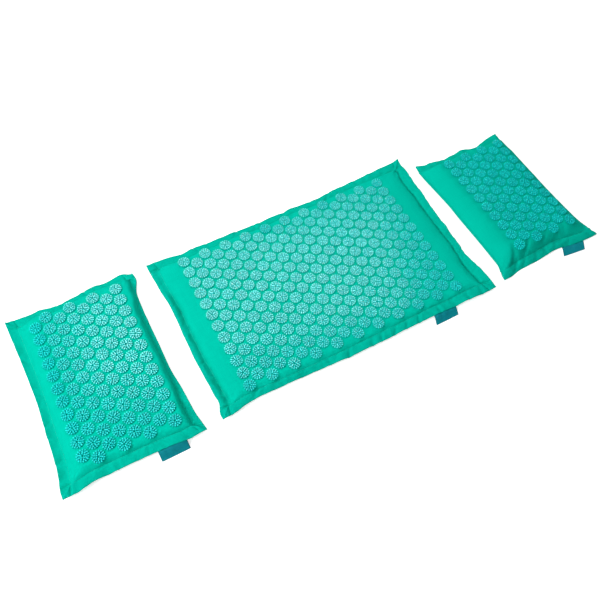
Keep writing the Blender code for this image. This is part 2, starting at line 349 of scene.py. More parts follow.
    def nearest_disc(self, x, y):
        """Distance from each point to the nearest disc's middle, and that middle."""
        nearest = np.full(len(x), 1.0)
        middle = np.zeros((len(x), 2))
        first = self.discs_middle[0] - (self.columns - 1) / 2 * COLUMN_PITCH
        guess = np.round((x - first) / COLUMN_PITCH).astype(int)
        for shift in (-1, 0, 1):
            column = np.clip(guess + shift, 0, self.columns - 1)
            is_long = (column % 2 == 0) == self.first_is_long
            count = np.where(is_long, self.most_rows, self.most_rows - 1)
            top = self.discs_middle[1] + (count - 1) / 2 * ROW_PITCH
            row = np.clip(np.round((top - y) / ROW_PITCH), 0, count - 1)
            spot = np.stack([first + column * COLUMN_PITCH, top - row * ROW_PITCH], 1)
            gap = np.hypot(x - spot[:, 0], y - spot[:, 1])
            closer = gap < nearest
            nearest[closer] = gap[closer]
            middle[closer] = spot[closer]
        return nearest, middle

    def pressed(self, x, y, swell):
        """The stuffed height with the cloth held flat under each stiff disc."""
        nearest, middle = self.nearest_disc(x, y)
        flat = middle.copy()
        for _ in range(3):
            flat += middle - np.stack(self.outline(flat[:, 0], flat[:, 1]), 1)
        u, v = flat.T
        step = SLOPE_STEP
        slope_x = (self.stuffing(u + step, v) - self.stuffing(u - step, v)) / (2 * step)
        slope_y = (self.stuffing(u, v + step) - self.stuffing(u, v - step)) / (2 * step)
        plane = self.stuffing(u, v) + slope_x * (x - middle[:, 0]) + slope_y * (y - middle[:, 1])
        press = smooth(unit((PRESSED_RADIUS - nearest) / PRESSED_FADE)) * PRESSED_SHARE
        return swell * (1 - press) + np.maximum(plane, 0) * press, nearest

    def way_out(self, axis, along):
        """0 on the plateau and 1 at the outer edge of the side that a point is nearest to."""
        half = self.half(axis)
        side = 2 * axis + (along > 0)
        plateau = half - np.array(self.flanges)[side] - np.array(self.shoulders)[side]
        return np.maximum((np.abs(along) - plateau) / (half - plateau), 0)

    def corner_pull(self, x, y):
        """How far each point follows its corner, in X, Y and Z."""
        pulls = np.zeros((len(x), 3))
        for signs, pull in self.pulls.items():
            here = (np.sign(x + 1e-9) == signs[0]) & (np.sign(y + 1e-9) == signs[1])
            pulls[here] = pull
        along_back = self.way_out(1, y) * np.abs(2 * x / self.width) ** 3
        along_side = self.way_out(0, x) * np.abs(2 * y / self.depth) ** 3
        return pulls * np.maximum(along_back, along_side)[:, None]

    def place(self, x, y):
        """Where a point of the straight outline goes once sides are drawn in and corners pulled."""
        pull = self.corner_pull(x, y)
        moved = []
        for axis, along, across in ((0, x, y), (1, y, x)):
            size, other = 2 * self.half(axis), 2 * self.half(1 - axis)
            draws = np.array(self.draws)[2 * axis + (along > 0)]
            draw = draws * (2 * along / size) ** 3 * (1 - (2 * across / other) ** 2)
            moved.append(along - draw + pull[:, axis])
        return moved

    def disc_spots(self, column):
        """The middles of the discs of one column, in the cushion's own frame, back to front."""
        is_long = (column % 2 == 0) == self.first_is_long
        count = self.most_rows if is_long else self.most_rows - 1
        x = self.discs_middle[0] + (column - (self.columns - 1) / 2) * COLUMN_PITCH
        y = self.discs_middle[1] + (count - 1) / 2 * ROW_PITCH
        return [(x, y - row * ROW_PITCH) for row in range(count)]

    def to_frame(self):
        return Matrix.Translation((*self.centre, 0)) @ Matrix.Rotation(self.turn, 4, "Z")


MAT = Cushion(
    name="mat",
    width=0.660,
    depth=0.400,
    thickness=0.0165,
    crown=0.0015,
    seam_height=0.007,
    flanges=(FLANGE,) * 4,
    shoulders=(0.022, 0.026, 0.009, 0.009),
    draws=(0.004, 0.007, 0.005, 0.006),
    pulls={(1, 1): (0.002, 0.005, 0.008), (-1, 1): (0, 0.002, 0), (1, -1): (0, -0.001, 0)},
    rolls=(
        Roll(dip=0.0052, dip_reach=0.0055, crest=0.0016, crest_at=0.013, fall=-0.001, shade=1.15,
             shade_width=0.0038, fade=((0.085, 1.0), (0.125, 0.25), (0.165, 0.1))),
        Roll(dip=0.0040, dip_reach=0.0024, crest=0.0, fall=-0.0010, shade=1.35, shade_width=0.0025),
        Roll(dip=0.0008, dip_reach=0.0026, crest=0.0002, crest_at=0.010, fall=-0.0005, wave=0.0014, shade=0.4,
             shade_width=0.0032, lift=0.0042),
        Roll(dip=0.0022, dip_reach=0.0035, crest=0.0006, crest_at=0.009, fall=0.002, shade=0.5),
    ),
    columns=21,
    most_rows=12,
    first_is_long=True,
    discs_middle=(-0.009, -0.003),
    label_middle=0.190,
    label_drop=0.0183,
    label_skew=0.25,
    centre=(0.0, 0.0),
    turn=0.0,
    slopes=(0.046, 0.040, 0.012, 0.009),
    firmness=(2.3, 2.6, 2.3, 3.0),
    tucks=millimetres(
        ((-190, 1), (-100, 1), (0, 3), (50, 3), (120, 3), (190, 0)),
        ((-190, 0), (-154, -7), (-129, -4), (-100, 1), (-50, 0), (0, -2), (50, -1), (100, -3), (154, -4),
         (185, 4)),
        ((-320, 0), (-290, 2), (-266, 4), (-221, 6), (-177, 6), (-133, 5), (-89, 3), (-30, 0), (220, 0),
         (260, -3), (320, 0)),
        (),
    ),
    bends=millimetres(
        ((-198, 3), (-184, 6), (-168, -5), (-150, -1), (-126, 0), (-100, 2), (-54, 3.5), (0, 2.5), (36, 1),
         (80, 0), (126, 3), (180, 4)),
        ((-198, -5), (-170, -5), (-144, -5.5), (-126, -9), (-108, -9.5), (-60, -3), (-18, -2), (0, -0.3),
         (36, -1), (60, 0), (98, 2.5), (126, -1), (162, 1), (180, -1.5), (190, -1)),
        ((-328, 3), (-312, 2), (-300, 2), (-280, -3.5), (-250, -6), (-200, -3.5), (-150, -1), (-90, 3),
         (-50, 7), (90, 7), (150, 5.5), (240, 6.5), (290, 6.5), (328, 4)),
        ((-328, -4.2), (-298, -2.4), (-250, -6.3), (-215, -3), (-180, -3.8), (-119, 0), (-60, -5.5),
         (-30, -1.5), (0, -2), (30, 0.5), (60, -1), (89, -5.5), (119, 0.5), (209, 2), (250, 0.5), (328, 1)),
    ),
    seed=11,
)

FLAT_PILLOW = Cushion(
    name="flat_pillow",
    width=0.277,
    depth=0.397,
    thickness=0.023,
    crown=0.002,
    seam_height=0.008,
    flanges=(FLANGE,) * 4,
    shoulders=(0.020, 0.016, 0.010, 0.012),
    draws=(0.009, 0.011, 0.003, 0.006),
    pulls={(1, 1): (0, 0.002, 0.004), (-1, 1): (0, 0.005, 0), (-1, -1): (-0.002, 0, 0)},
    rolls=(
        Roll(dip=0.0004, dip_reach=0.006, crest=0.0, fall=-0.003, shade=0.0),
        Roll(dip=0.0016, dip_reach=0.003, crest=0.0006, crest_at=0.012, fall=-0.002, wave=0.0013, shade=0.1,
             shade_width=0.0018, fade=((-0.050, 1.0), (0.060, 0.75), (0.110, 0.6), (0.190, 0.5))),
        Roll(dip=0.0004, dip_reach=0.0026, crest=0.0002, crest_at=0.010, fall=-0.001, wave=0.0014, shade=0.2,
             lift=0.0065, fade=((-0.120, 0.2), (-0.085, 1.0))),
        Roll(dip=0.0012, dip_reach=0.004, crest=0.0004, crest_at=0.009, fall=0.003, shade=0.1),
    ),
    columns=8,
    most_rows=12,
    first_is_long=False,
    discs_middle=(0.005, -0.003),
    label_middle=0.070,
    label_drop=0.0173,
    label_skew=0.0,
    centre=(-0.5075, -0.001),
    turn=math.radians(-0.3),
    slopes=(0.044, 0.014, 0.013, 0.010),
    firmness=(2.3, 3.2, 2.2, 3.0),
    tucks=millimetres(
        (),
        ((-190, 2), (-130, 2), (-100, 5), (-60, 7), (-25, 9), (0, 6), (100, 7), (128, 14), (160, 11), (190, 0)),
        (),
        (),
    ),
    bends=millimetres(
        ((-196, -0.5), (-179, 3), (-158, -1.5), (-125, -1.5), (-80, 0.5), (0, -1), (90, 0), (160, -0.5),
         (196, -2)),
        ((-196, 1), (-179, 1), (-161, -1.5), (-100, 0), (-54, -2.5), (10, -1), (71, -2.5), (125, -4.5),
         (152, -4), (170, 2), (184, 6), (196, -2)),
        ((-136, 7), (-104, 8), (-80, 3), (-50, 4), (0, 5), (60, 6), (99, 9), (136, 6)),
        ((-136, -6), (-99, -4), (-72, 3), (-40, -4), (-10, -1.5), (14, 3.5), (40, 5.5), (60, 7.5), (87, 2.5),
         (104, 4), (116, 4.5), (128, -5), (136, -10.5)),
    ),
    seed=23,
)

NECK_PILLOW = Cushion(
    name="neck_pillow",
    width=0.262,
    depth=0.364,
    thickness=0.033,
    crown=0.004,
    seam_height=0.009,
    flanges=(0.0, 0.0, FLANGE, FLANGE),
    shoulders=(0.044, 0.024, 0.016, 0.016),
    draws=(0.001, 0.018, 0.004, 0.010),
    pulls={
        (1, 1): (-0.008, 0.004, 0),
        (-1, 1): (0.005, 0.004, 0),
        (-1, -1): (-0.004, 0.003, 0),
        (1, -1): (0.008, 0, 0),
    },
    rolls=(
        Roll(dip=0.0, crest=0.0, fall=0.0, wave=0.0),
        Roll(dip=0.0, crest=0.0, fall=0.0, wave=0.0),
        Roll(dip=0.0, dip_reach=0.003, crest=0.0, crest_at=0.010, fall=0.0075, wave=0.0016, shade=0.05),
        Roll(dip=0.0020, dip_reach=0.004, crest=0.0006, crest_at=0.010, wave=0.0014, shade=0.3),
    ),
    columns=7,
    most_rows=10,
    first_is_long=True,
    discs_middle=(0.004, -0.002),
    label_middle=0.0658,
    # Painted shade on the cloth round each disc
    disc_shade=0.45,
    # Stronger painted light and shade on this pillow's spikes
    disc_contrast=1.7,
    label_drop=0.0213,
    label_skew=0.45,
    centre=(0.492, -0.012),
    turn=math.radians(1.0),
    slopes=(0.046, 0.066, 0.034, 0.020),
    firmness=(2.3, 2.2, 2.4, 3.0),
    bends=millimetres(
        ((-180, 3), (-164, 5.5), (-150, -3), (-130, -2), (-100, -2), (0, -1.5), (40, -3), (98, 0), (131, 3),
         (164, 4.5), (180, 0)),
        ((-180, -3), (-164, -7), (-147, -8.5), (-131, -7.5), (-100, -3), (-50, 1), (16, 3.5), (50, 3),
         (110, 1.5), (131, -2.5), (147, -3), (180, -3)),
        ((-129, 4), (-112, 5.5), (-94, -1), (-40, -0.5), (-12, -2), (23, -4.5), (60, 2.5), (94, 6.5), (129, 4)),
        ((-129, -2), (-106, -5.5), (-86, -3), (-70, -4.5), (-47, -4), (-12, 0), (12, 3), (35, -7), (59, -7.5),
         (94, -3), (112, -3), (129, -7)),
    ),
    # Lines of painted shade: start, end, share of full shade and half width; the last darkens the left slope
    # and plateau
    hollows=(
        ((-0.090, -0.142), (-0.104, -0.170), 0.9, 0.0036),
        ((-0.085, -0.159), (-0.101, -0.180), 1.0, 0.0034),
        ((-0.060, -0.168), (0.030, -0.161), 0.5, 0.0030),
        ((-0.102, -0.130), (-0.102, 0.150), 0.28, 0.0200),
    ),
    creases=(
        ((-0.080, -0.128), (-0.102, -0.166), 0.0046, 0.0048),
        ((-0.084, -0.138), (-0.090, -0.168), 0.0036, 0.0038),
        ((-0.084, -0.158), (-0.101, -0.180), 0.0026, 0.0036),
        ((-0.040, -0.134), (-0.066, -0.162), 0.0026, 0.0042),
        ((0.012, -0.136), (-0.010, -0.162), 0.0012, 0.0040),
        ((0.060, -0.138), (0.050, -0.164), 0.0010, 0.0040),
        ((-0.098, 0.140), (-0.092, 0.164), 0.0012, 0.0030),
    ),
    label_turn=math.radians(-8.0),
    seed=37,
)

CUSHIONS = {cushion.name: cushion for cushion in (MAT, FLAT_PILLOW, NECK_PILLOW)}


# What the colours and the small lengths have in common
COLOUR = {"size": 3, "min": 0.0, "max": 1.0, "subtype": "COLOR"}
LENGTH = {"precision": 4, "unit": "LENGTH"}


class CottonSettings(bpy.types.PropertyGroup):
    """Sizes and colours of the cotton covers."""

    colour: bpy.props.FloatVectorProperty(
        name="Cotton colour", description="Colour of the dyed cotton", default=(0, 0.5893, 0.4299), **COLOUR
    )
    thread_pitch: bpy.props.FloatProperty(
        name="Thread pitch",
        description="Distance between neighbouring threads of the weave",
        default=0.0005,
        **LENGTH,
    )
    puff: bpy.props.FloatProperty(
        name="Puff", description="How far the cloth swells between the discs", default=0.0007, **LENGTH
    )
    pucker: bpy.props.FloatProperty(
        name="Pucker",
        description="Height of the small gathers along the flange seams",
        default=0.0013,
        **LENGTH,
    )


class DiscSettings(bpy.types.PropertyGroup):
    """Sizes and colours of the spiked discs."""

    # The plate colour holds painted shade between the spikes, and the spike colour painted light
    plate_colour: bpy.props.FloatVectorProperty(
        name="Plate colour",
        description="Colour of the plastic between the spikes",
        default=(0.0, 0.54, 0.50),
        **COLOUR,
    )
    tip_colour: bpy.props.FloatVectorProperty(
        name="Spike colour",
        description="Colour of the spikes, where the plastic is thin and light comes through",
        default=(0.01, 1.0, 0.96),
        **COLOUR,
    )
    plate: bpy.props.FloatProperty(
        name="Plate thickness", description="Thickness of a disc's plate", default=0.0011, **LENGTH
    )
    spike: bpy.props.FloatProperty(
        name="Spike height", description="Height of the spikes over the plate", default=0.0032, **LENGTH
    )


class TrimSettings(bpy.types.PropertyGroup):
    """Sizes and colours of the labels and the stitching."""

    label_colour: bpy.props.FloatVectorProperty(
        name="Label colour", description="Colour of the woven labels", default=(0.0, 0.25, 0.30), **COLOUR
    )
    thread_colour: bpy.props.FloatVectorProperty(
        name="Thread colour", description="Colour of the sewing thread", default=(0.0, 0.50, 0.38), **COLOUR
    )
    stitch: bpy.props.FloatProperty(
        name="Stitch length", description="Length of one stitch along the seam", default=0.0032, **LENGTH
    )


class StudioSettings(bpy.types.PropertyGroup):
    """The light level of the studio."""

    key: bpy.props.FloatProperty(
        name="Key power",
        description="Power of the large softbox over the left end",
        default=55.0,
        unit="POWER",
    )
    top: bpy.props.FloatProperty(
        name="Top power", description="Power of the long softbox over the back", default=26.0, unit="POWER"
    )
    front: bpy.props.FloatProperty(
        name="Front power",
        description="Power of the wide, weak softbox over the front",
        default=9.3,
        unit="POWER",
    )
    fill: bpy.props.FloatProperty(
        name="Fill level", description="Level of the even light from all round", default=0.083
    )


class SetSettings(bpy.types.PropertyGroup):
    """Everything that a user would change, by kind."""

    cotton: bpy.props.PointerProperty(type=CottonSettings, name="Cotton", description="The covers")
    discs: bpy.props.PointerProperty(type=DiscSettings, name="Discs", description="The spiked discs")
    trim: bpy.props.PointerProperty(type=TrimSettings, name="Trim", description="Labels and thread")
    studio: bpy.props.PointerProperty(type=StudioSettings, name="Studio", description="The lights")


def settings():
    return bpy.context.scene.acupressure_set


# Materials


class Nodes:
    """The nodes of a material or of the world, and the steps that they share."""

    def __init__(self, owner):
        owner.use_nodes = True
        self.owner = owner
        self.nodes, self.links = owner.node_tree.nodes, owner.node_tree.links

    def put(self, socket, value):
        """Sets a socket, or links it where the value is another node's output."""
        if isinstance(value, bpy.types.NodeSocket):
            self.links.new(value, socket)
        else:
            socket.default_value = value

    def fill(self, made, **values):
        """Sets a node's inputs and properties by name, with underscores for spaces."""
        for name, value in values.items():
            key = name.replace("_", " ")
            if key in made.inputs:
                self.put(made.inputs[key], value)
            else:
                setattr(made, name, value)
        return made

    def node(self, kind, *sockets, **values):
        """A node of one kind, with its first inputs set in order and others by name."""
        made = self.nodes.new(kind)
        for socket, value in zip(made.inputs, sockets):
            self.put(socket, value)
        return self.fill(made, **values)

    @property
    def place(self):
        """Where a point lies on its piece."""
        return self.node("ShaderNodeTexCoord").outputs["Object"]

    def attribute(self, name):
        return self.node("ShaderNodeAttribute", attribute_name=name).outputs["Fac"]

    def math(self, operation, first, second):
        return self.node("ShaderNodeMath", first, second, operation=operation).outputs[0]

    def times(self, total, *factors):
        for factor in factors:
            total = self.math("MULTIPLY", total, factor)
        return total

    def mix(self, factor, first, second, blend="MIX"):
        """Two colours mixed."""
        made = self.node("ShaderNodeMix", factor, data_type="RGBA", blend_type=blend)
        for place, value in ((6, first), (7, second)):
            self.put(made.inputs[place], (*value, 1.0) if isinstance(value, tuple) else value)
        return made.outputs[2]

    def shaded(self, colour, tone):
        """A colour times a grey tone."""
        return self.mix(1.0, colour, tone, "MULTIPLY")

    def weave(self, pitch):
        """Height of a plain weave: warp and weft threads that pass over and under by turns."""
        # A wave texture's bands repeat every 2 pi / (20 x scale)
        scale = 2 * math.pi / 20 / pitch
        waves = []
        for direction in ("X", "Y"):
            wave = self.node(
                "ShaderNodeTexWave", bands_direction=direction, Vector=self.place, Scale=scale, Distortion=0.0
            )
            waves.append(self.math("SUBTRACT", wave.outputs["Fac"], 0.5))
        return self.times(*waves, 4.0)

    def noise(self, scale, detail=2.0, stretch=None):
        place = self.place
        if stretch:
            place = self.node("ShaderNodeMapping", Vector=place, Scale=stretch).outputs["Vector"]
        return self.node("ShaderNodeTexNoise", Vector=place, Scale=scale, Detail=detail).outputs["Fac"]

    def ranged(self, value, low, high):
        """Maps 0 to 1 onto low to high."""
        return self.node("ShaderNodeMapRange", Value=value, To_Min=low, To_Max=high).outputs["Result"]

    def surface(self, bump, **values):
        """The finished material: its bump's height, strength and distance, and its shader's inputs."""
        height, strength, distance = bump
        relief = self.node("ShaderNodeBump", Height=height, Strength=strength, Distance=distance)
        self.fill(self.nodes["Principled BSDF"], Normal=relief.outputs["Normal"], **values)
        return self.owner


def dyed_cotton(made):
    """Dyed plain-weave cotton: matt, mottled and paler on worn edges, with painted shade along the seams, in
    the hollows and beside the discs.
    """
    chosen = settings().cotton
    dye = made.noise(9.0, 3.0)
    slub_along = made.noise(1.0, 2.0, (35.0, 900.0, 35.0))
    slub_across = made.noise(1.0, 2.0, (900.0, 35.0, 35.0))
    fibres = made.noise(420.0, 3.0)
    weave = made.weave(chosen.thread_pitch)
    tone = made.times(
        made.ranged(dye, 0.95, 1.05),
        made.ranged(slub_along, 0.94, 1.06),
        made.ranged(slub_across, 0.94, 1.06),
        made.ranged(fibres, 0.95, 1.05),
    )
    tone = made.math("ADD", tone, made.times(weave, 0.04))
    # Painted shade and the unbacked flange darken the cotton, down to these tones
    for name, deepest in (("groove", 0.72), ("unbacked", 0.88)):
        tone = made.times(tone, made.ranged(made.attribute(name), 1.0, deepest))
    worn = made.times(made.attribute("worn_edge"), made.ranged(fibres, 0.2, 1.0))
    pale = tuple(min(1.0, channel * 1.06 + 0.004) for channel in chosen.colour)
    height = made.math("ADD", weave, made.times(fibres, 0.8))
    height = made.math("ADD", height, made.times(slub_along, 0.9))
    return made.surface(
        (height, 0.35, 0.00018),
        Base_Color=made.shaded(made.mix(worn, tuple(chosen.colour), pale), tone),
        Roughness=0.92,
        Specular_IOR_Level=0.02,
        Sheen_Weight=0.06,
        Sheen_Roughness=0.5,
        Sheen_Tint=(0.0, 0.9, 0.75, 1.0),
    )


def moulded_plastic(made):
    """Translucent moulded plastic: painted shade deep between the spikes and painted light on them, with the
    shine kept to their tips.
    """
    chosen = settings().discs
    flow = made.noise(160.0)
    # The tip value mixes painted shade between the spikes into painted light on them, and sets the shine by it
    depth = made.math("POWER", made.attribute("tip"), SPIKE_FADE)
    tone = made.times(made.ranged(made.attribute("tone"), 0.95, 1.03), made.ranged(flow, 0.95, 1.05))
    return made.surface(
        (made.noise(900.0), 0.2, 0.0001),
        Base_Color=made.shaded(made.mix(depth, tuple(chosen.plate_colour), tuple(chosen.tip_colour)), tone),
        Roughness=made.ranged(flow, 0.18, 0.32),
        Specular_IOR_Level=made.ranged(depth, 0.02, 1.0),
        Specular_Tint=(0.7, 1.0, 0.97, 1.0),
        Coat_Weight=made.ranged(depth, 0.0, 1.0),
        Coat_Roughness=0.18,
        IOR=1.49,
    )


def woven_ribbon(made):
    """Woven satin ribbon: fine ribs across, selvedge along the ends and a soft shine."""
    streaks = made.noise(1.0, 1.0, (60.0, 2400.0, 60.0))
    tone = made.times(
        made.ranged(made.noise(60.0), 0.9, 1.1),
        made.ranged(streaks, 0.85, 1.15),
        made.ranged(made.attribute("selvedge"), 1.0, 0.7),
    )
    return made.surface(
        (made.math("ADD", made.weave(0.0004), streaks), 0.4, 0.00015),
        Base_Color=made.shaded(tuple(settings().trim.label_colour), tone),
        Roughness=0.6,
        Specular_IOR_Level=0.12,
        Sheen_Weight=0.2,
        Sheen_Tint=(0.1, 0.6, 0.62, 1.0),
    )


def sewing_thread(made):
    """Twisted sewing thread."""
    twist = made.noise(1500.0, 1.0)
    return made.surface(
        (twist, 0.5, 0.0001),
        Base_Color=made.shaded(tuple(settings().trim.thread_colour), made.ranged(twist, 0.8, 1.2)),
        Roughness=0.6,
    )


def open_cell_foam(made):
    """Open-cell foam with its pores."""
    pores = made.node("ShaderNodeTexVoronoi", Vector=made.place, Scale=700.0).outputs["Distance"]
    tone = made.times(made.ranged(pores, 0.8, 1.05), made.ranged(made.noise(14.0), 0.93, 1.03))
    return made.surface(
        (pores, 0.6, 0.0005), Base_Color=made.shaded((0.82, 0.78, 0.66), tone), Roughness=0.95
    )


def material(make):
    """The material that a function makes, made only once."""
    name = make.__name__
    return bpy.data.materials.get(name) or make(Nodes(bpy.data.materials.new(name)))


# Pieces


def mesh_from(bm, name):
    """Turns a bmesh into a mesh and lets the bmesh go."""
    mesh = bpy.data.meshes.new(name)
    bm.to_mesh(mesh)
    bm.free()
    return mesh


def linked(name, data):
    made = bpy.data.objects.new(name, data)
    bpy.context.scene.collection.objects.link(made)
    return made


def add_piece(mesh, body, surface, smooth_shaded=True):
    """Links a finished mesh as a piece that rides on a body."""
    mesh.materials.append(surface)
    piece = linked(mesh.name, mesh)
    if smooth_shaded:
        mesh.shade_smooth()
    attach(piece, body)
    return piece


def point_values(mesh, name, values):
    attribute = mesh.attributes.new(name, "FLOAT", "POINT")
    attribute.data.foreach_set("value", np.asarray(values, np.float32))


def points_of(mesh):
    """Three rows: the x, y and z of each vertex."""
    points = np.empty(len(mesh.vertices) * 3, np.float32)
    mesh.vertices.foreach_get("co", points)
    return points.reshape(-1, 3).astype(float).T


def set_points(mesh, cushion, x, y, z):
    """Moves the vertices to where they belong in the frame."""
    mesh.vertices.foreach_set("co", np.stack([x, y, z], 1).astype(np.float32).ravel())
    mesh.transform(cushion.to_frame())
    mesh.update()


def only(kind, geometry):
    return [element for element in geometry if isinstance(element, kind)]


def extruded(bm, edges):
    """The vertices and edges of the new loop that an extrusion of a loop makes."""
    geometry = bmesh.ops.extrude_edge_only(bm, edges=edges)["geom"]
    verts = only(VERT, geometry)
    made = set(verts)
    return verts, [edge for edge in only(EDGE, geometry) if made.issuperset(edge.verts)]


def gridded(bm, across, along):
    """Makes a grid: each of its vertices with its column and row."""
    bmesh.ops.create_grid(bm, x_segments=across, y_segments=along, size=1.0)
    return [
        (vert, round((vert.co.x + 1) / 2 * across), round((vert.co.y + 1) / 2 * along)) for vert in bm.verts
    ]


def slab(x_lines, y_lines, inset=None):
    """A closed sheet over a grid: upper layer at z 1, rim at 0, lower layer at -1.

    The lower layer is one face further inside than the inset, where there is one.
    """
    bm = bmesh.new()
    for vert, column, row in gridded(bm, len(x_lines) - 1, len(y_lines) - 1):
        vert.co = (x_lines[column], y_lines[row], 1.0)
    border = [edge for edge in bm.edges if edge.is_boundary]
    copied = bmesh.ops.duplicate(bm, geom=bm.verts[:] + bm.edges[:] + bm.faces[:])["geom"]
    lower_border = [edge for edge in only(EDGE, copied) if edge.is_boundary]
    lower_faces = only(FACE, copied)
    for vert in only(VERT, copied):
        vert.co.z = -1.0
    rim_verts, rim_edges = extruded(bm, border)
    for vert in rim_verts:
        vert.co.z = 0.0
    bmesh.ops.bridge_loops(bm, edges=rim_edges + lower_border)
    if inset:
        low_x, high_x, low_y, high_y = inset
        middle = []
        for face in lower_faces:
            if all(low_x < vert.co.x < high_x and low_y < vert.co.y < high_y for vert in face.verts):
                middle.append(face)
        bmesh.ops.dissolve_faces(bm, faces=middle)
    bmesh.ops.recalc_face_normals(bm, faces=bm.faces)
    return bm


# The small gathers along a seam: each value's range, and how far apart they lie
GATHER_SHARE = (0.25, 1.0)
GATHER_SIGNS = (1, 1, -0.7)
GATHER_WIDTH = (0.0018, 0.0042)
GATHER_SLANT = (-0.5, 0.5)
GATHER_REACH_OUT = (0.004, 0.014)
GATHER_REACH_IN = (0.003, 0.010)
GATHER_GAP = (0.006, 0.019)
GATHER_MARGIN = 0.006
# The deep tucks over a flange
TUCK_SHARE = (0.6, 1.6)
TUCK_WIDTH = (0.0022, 0.0045)
TUCK_SLANT = (-0.9, 0.9)
TUCK_START = (0.010, 0.030)
TUCK_GAP = (0.018, 0.060)
TUCK_MARGIN = 0.010


def puckers(cushion, side, along, out, height):
    """Small gathers across one seam, and fewer deep tucks that run out over its flange."""
    low, high = cushion.seams(1 - side // 2)
    dice = random.Random(cushion.seed * 10 + side)
    total = np.zeros_like(along)
    near = (out > -0.016) & (out < FLANGE + 0.001)
    spot = low + GATHER_MARGIN
    while spot < high - GATHER_MARGIN:
        tall = height * dice.uniform(*GATHER_SHARE) * dice.choice(GATHER_SIGNS)
        width = dice.uniform(*GATHER_WIDTH)
        slant = dice.uniform(*GATHER_SLANT)
        reach_out, reach_in = dice.uniform(*GATHER_REACH_OUT), dice.uniform(*GATHER_REACH_IN)
        shift = (along[near] - spot - slant * out[near]) / width
        reach = np.where(out[near] > 0, reach_out, reach_in)
        total[near] += tall * np.exp(-(shift**2)) * np.exp(-((out[near] / reach) ** 2))
        spot += dice.uniform(*GATHER_GAP)
    past = out > -0.004
    spot = low + dice.uniform(*TUCK_START)
    while spot < high - TUCK_MARGIN:
        shift = (along[past] - spot - dice.uniform(*TUCK_SLANT) * out[past]) / dice.uniform(*TUCK_WIDTH)
        total[past] -= height * dice.uniform(*TUCK_SHARE) * np.exp(-(shift**2)) * unit(out[past] / 0.006)
        spot += dice.uniform(*TUCK_GAP)
    return total


def free_cloth(cushion, u, v, out):
    """0 where stitches, discs or the stuffing hold the cloth and 1 where it can move."""
    flange = unit((out - FREE_START) / FREE_EASE)
    slope = unit((-out - FREE_START) / FREE_EASE) * unit((FREE_SLOPE + out) / FREE_SLOPE_EASE)
    beside_disc = unit((cushion.nearest_disc(*cushion.outline(u, v))[0] - DISC_RADIUS) / FREE_DISC_EASE)
    return np.maximum(flange, slope * beside_disc)


def settle(cushion):
    """Relaxes the upper cloth with the cloth solver, a little too large for its seams, so that it gathers."""
    fine = cushion.lines(0), cushion.lines(1)
    coarse = [np.append(lines[:-1:2], lines[-1]) for lines in fine]
    u, v = (grid.ravel() for grid in np.meshgrid(*coarse, indexing="ij"))
    x, y, upper, _, out = cover_shape(cushion, u, v)
    before = np.stack([x, y, upper], 1)
    bm = bmesh.new()
    order = []
    for vert, column, row in gridded(bm, len(coarse[0]) - 1, len(coarse[1]) - 1):
        order.append(column * len(coarse[1]) + row)
        vert.co = before[order[-1]]
    mesh = mesh_from(bm, "settling_cloth")
    sheet = linked("settling_cloth", mesh)
    held = sheet.vertex_groups.new(name="held")
    hold = 1 - free_cloth(cushion, u, v, out)
    for place, flat_index in enumerate(order):
        held.add([place], float(hold[flat_index]), "REPLACE")
    cloth = sheet.modifiers.new("cloth", "CLOTH")
    for name, value in CLOTH_SOLVER.items():
        setattr(cloth.settings, name, value)
    cloth.settings.effector_weights.gravity = 0.0
    cloth.point_cache.frame_start = 1
    cloth.point_cache.frame_end = SETTLE_FRAMES
    for step in range(1, SETTLE_FRAMES + 1):
        bpy.context.scene.frame_set(step)
    relaxed = sheet.evaluated_get(bpy.context.evaluated_depsgraph_get()).to_mesh()
    after = np.empty_like(before)
    after[order] = points_of(relaxed).T
    bpy.context.scene.frame_set(1)
    bpy.data.objects.remove(sheet)
    bpy.data.meshes.remove(mesh)
    moves = after - before
    length = np.linalg.norm(moves, axis=1)
    moves *= (SETTLE_CAP * np.tanh(length / SETTLE_CAP) / np.maximum(length, 1e-9))[:, None]
    moves[:, :2] *= 0.3
    moves = moves.reshape(len(coarse[0]), len(coarse[1]), 3)
    spread = np.empty((len(fine[0]), len(fine[1]), 3))
    for part in range(3):
        half_way = np.stack([np.interp(fine[0], coarse[0], column) for column in moves[:, :, part].T], 1)
        spread[:, :, part] = np.stack([np.interp(fine[1], coarse[1], row) for row in half_way])
    for _ in range(3):
        spread[1:-1] = (spread[:-2] + 2 * spread[1:-1] + spread[2:]) / 4
        spread[:, 1:-1] = (spread[:, :-2] + 2 * spread[:, 1:-1] + spread[:, 2:]) / 4
    SETTLED[cushion.name] = (*fine, spread)


def settled(cushion, u, v):
    """How far the relaxed cloth moved at each point of the flat pattern."""
    if cushion.name not in SETTLED:
        return np.zeros((len(u), 3))
    x_lines, y_lines, moves = SETTLED[cushion.name]
    column = np.clip(np.searchsorted(x_lines, u) - 1, 0, len(x_lines) - 2)
    row = np.clip(np.searchsorted(y_lines, v) - 1, 0, len(y_lines) - 2)
    right = unit((u - x_lines[column]) / (x_lines[column + 1] - x_lines[column]))[:, None]
    far = unit((v - y_lines[row]) / (y_lines[row + 1] - y_lines[row]))[:, None]
    near_row = moves[column, row] * (1 - right) + moves[column + 1, row] * right
    far_row = moves[column, row + 1] * (1 - right) + moves[column + 1, row + 1] * right
    return near_row * (1 - far) + far_row * far


def crease_depth(u, v, crease):
    """A soft valley along a line: start, end, depth and half width."""
    start, end, depth, width = crease
    line = np.array(end) - np.array(start)
    rel = np.stack([u - start[0], v - start[1]], 1)
    way = unit(rel @ line / (line @ line))
    gap = rel - way[:, None] * line
    fade = unit(np.minimum(way, 1 - way) * 5 + 0.3)
    return depth * np.exp(-(gap**2).sum(1) / width**2) * fade


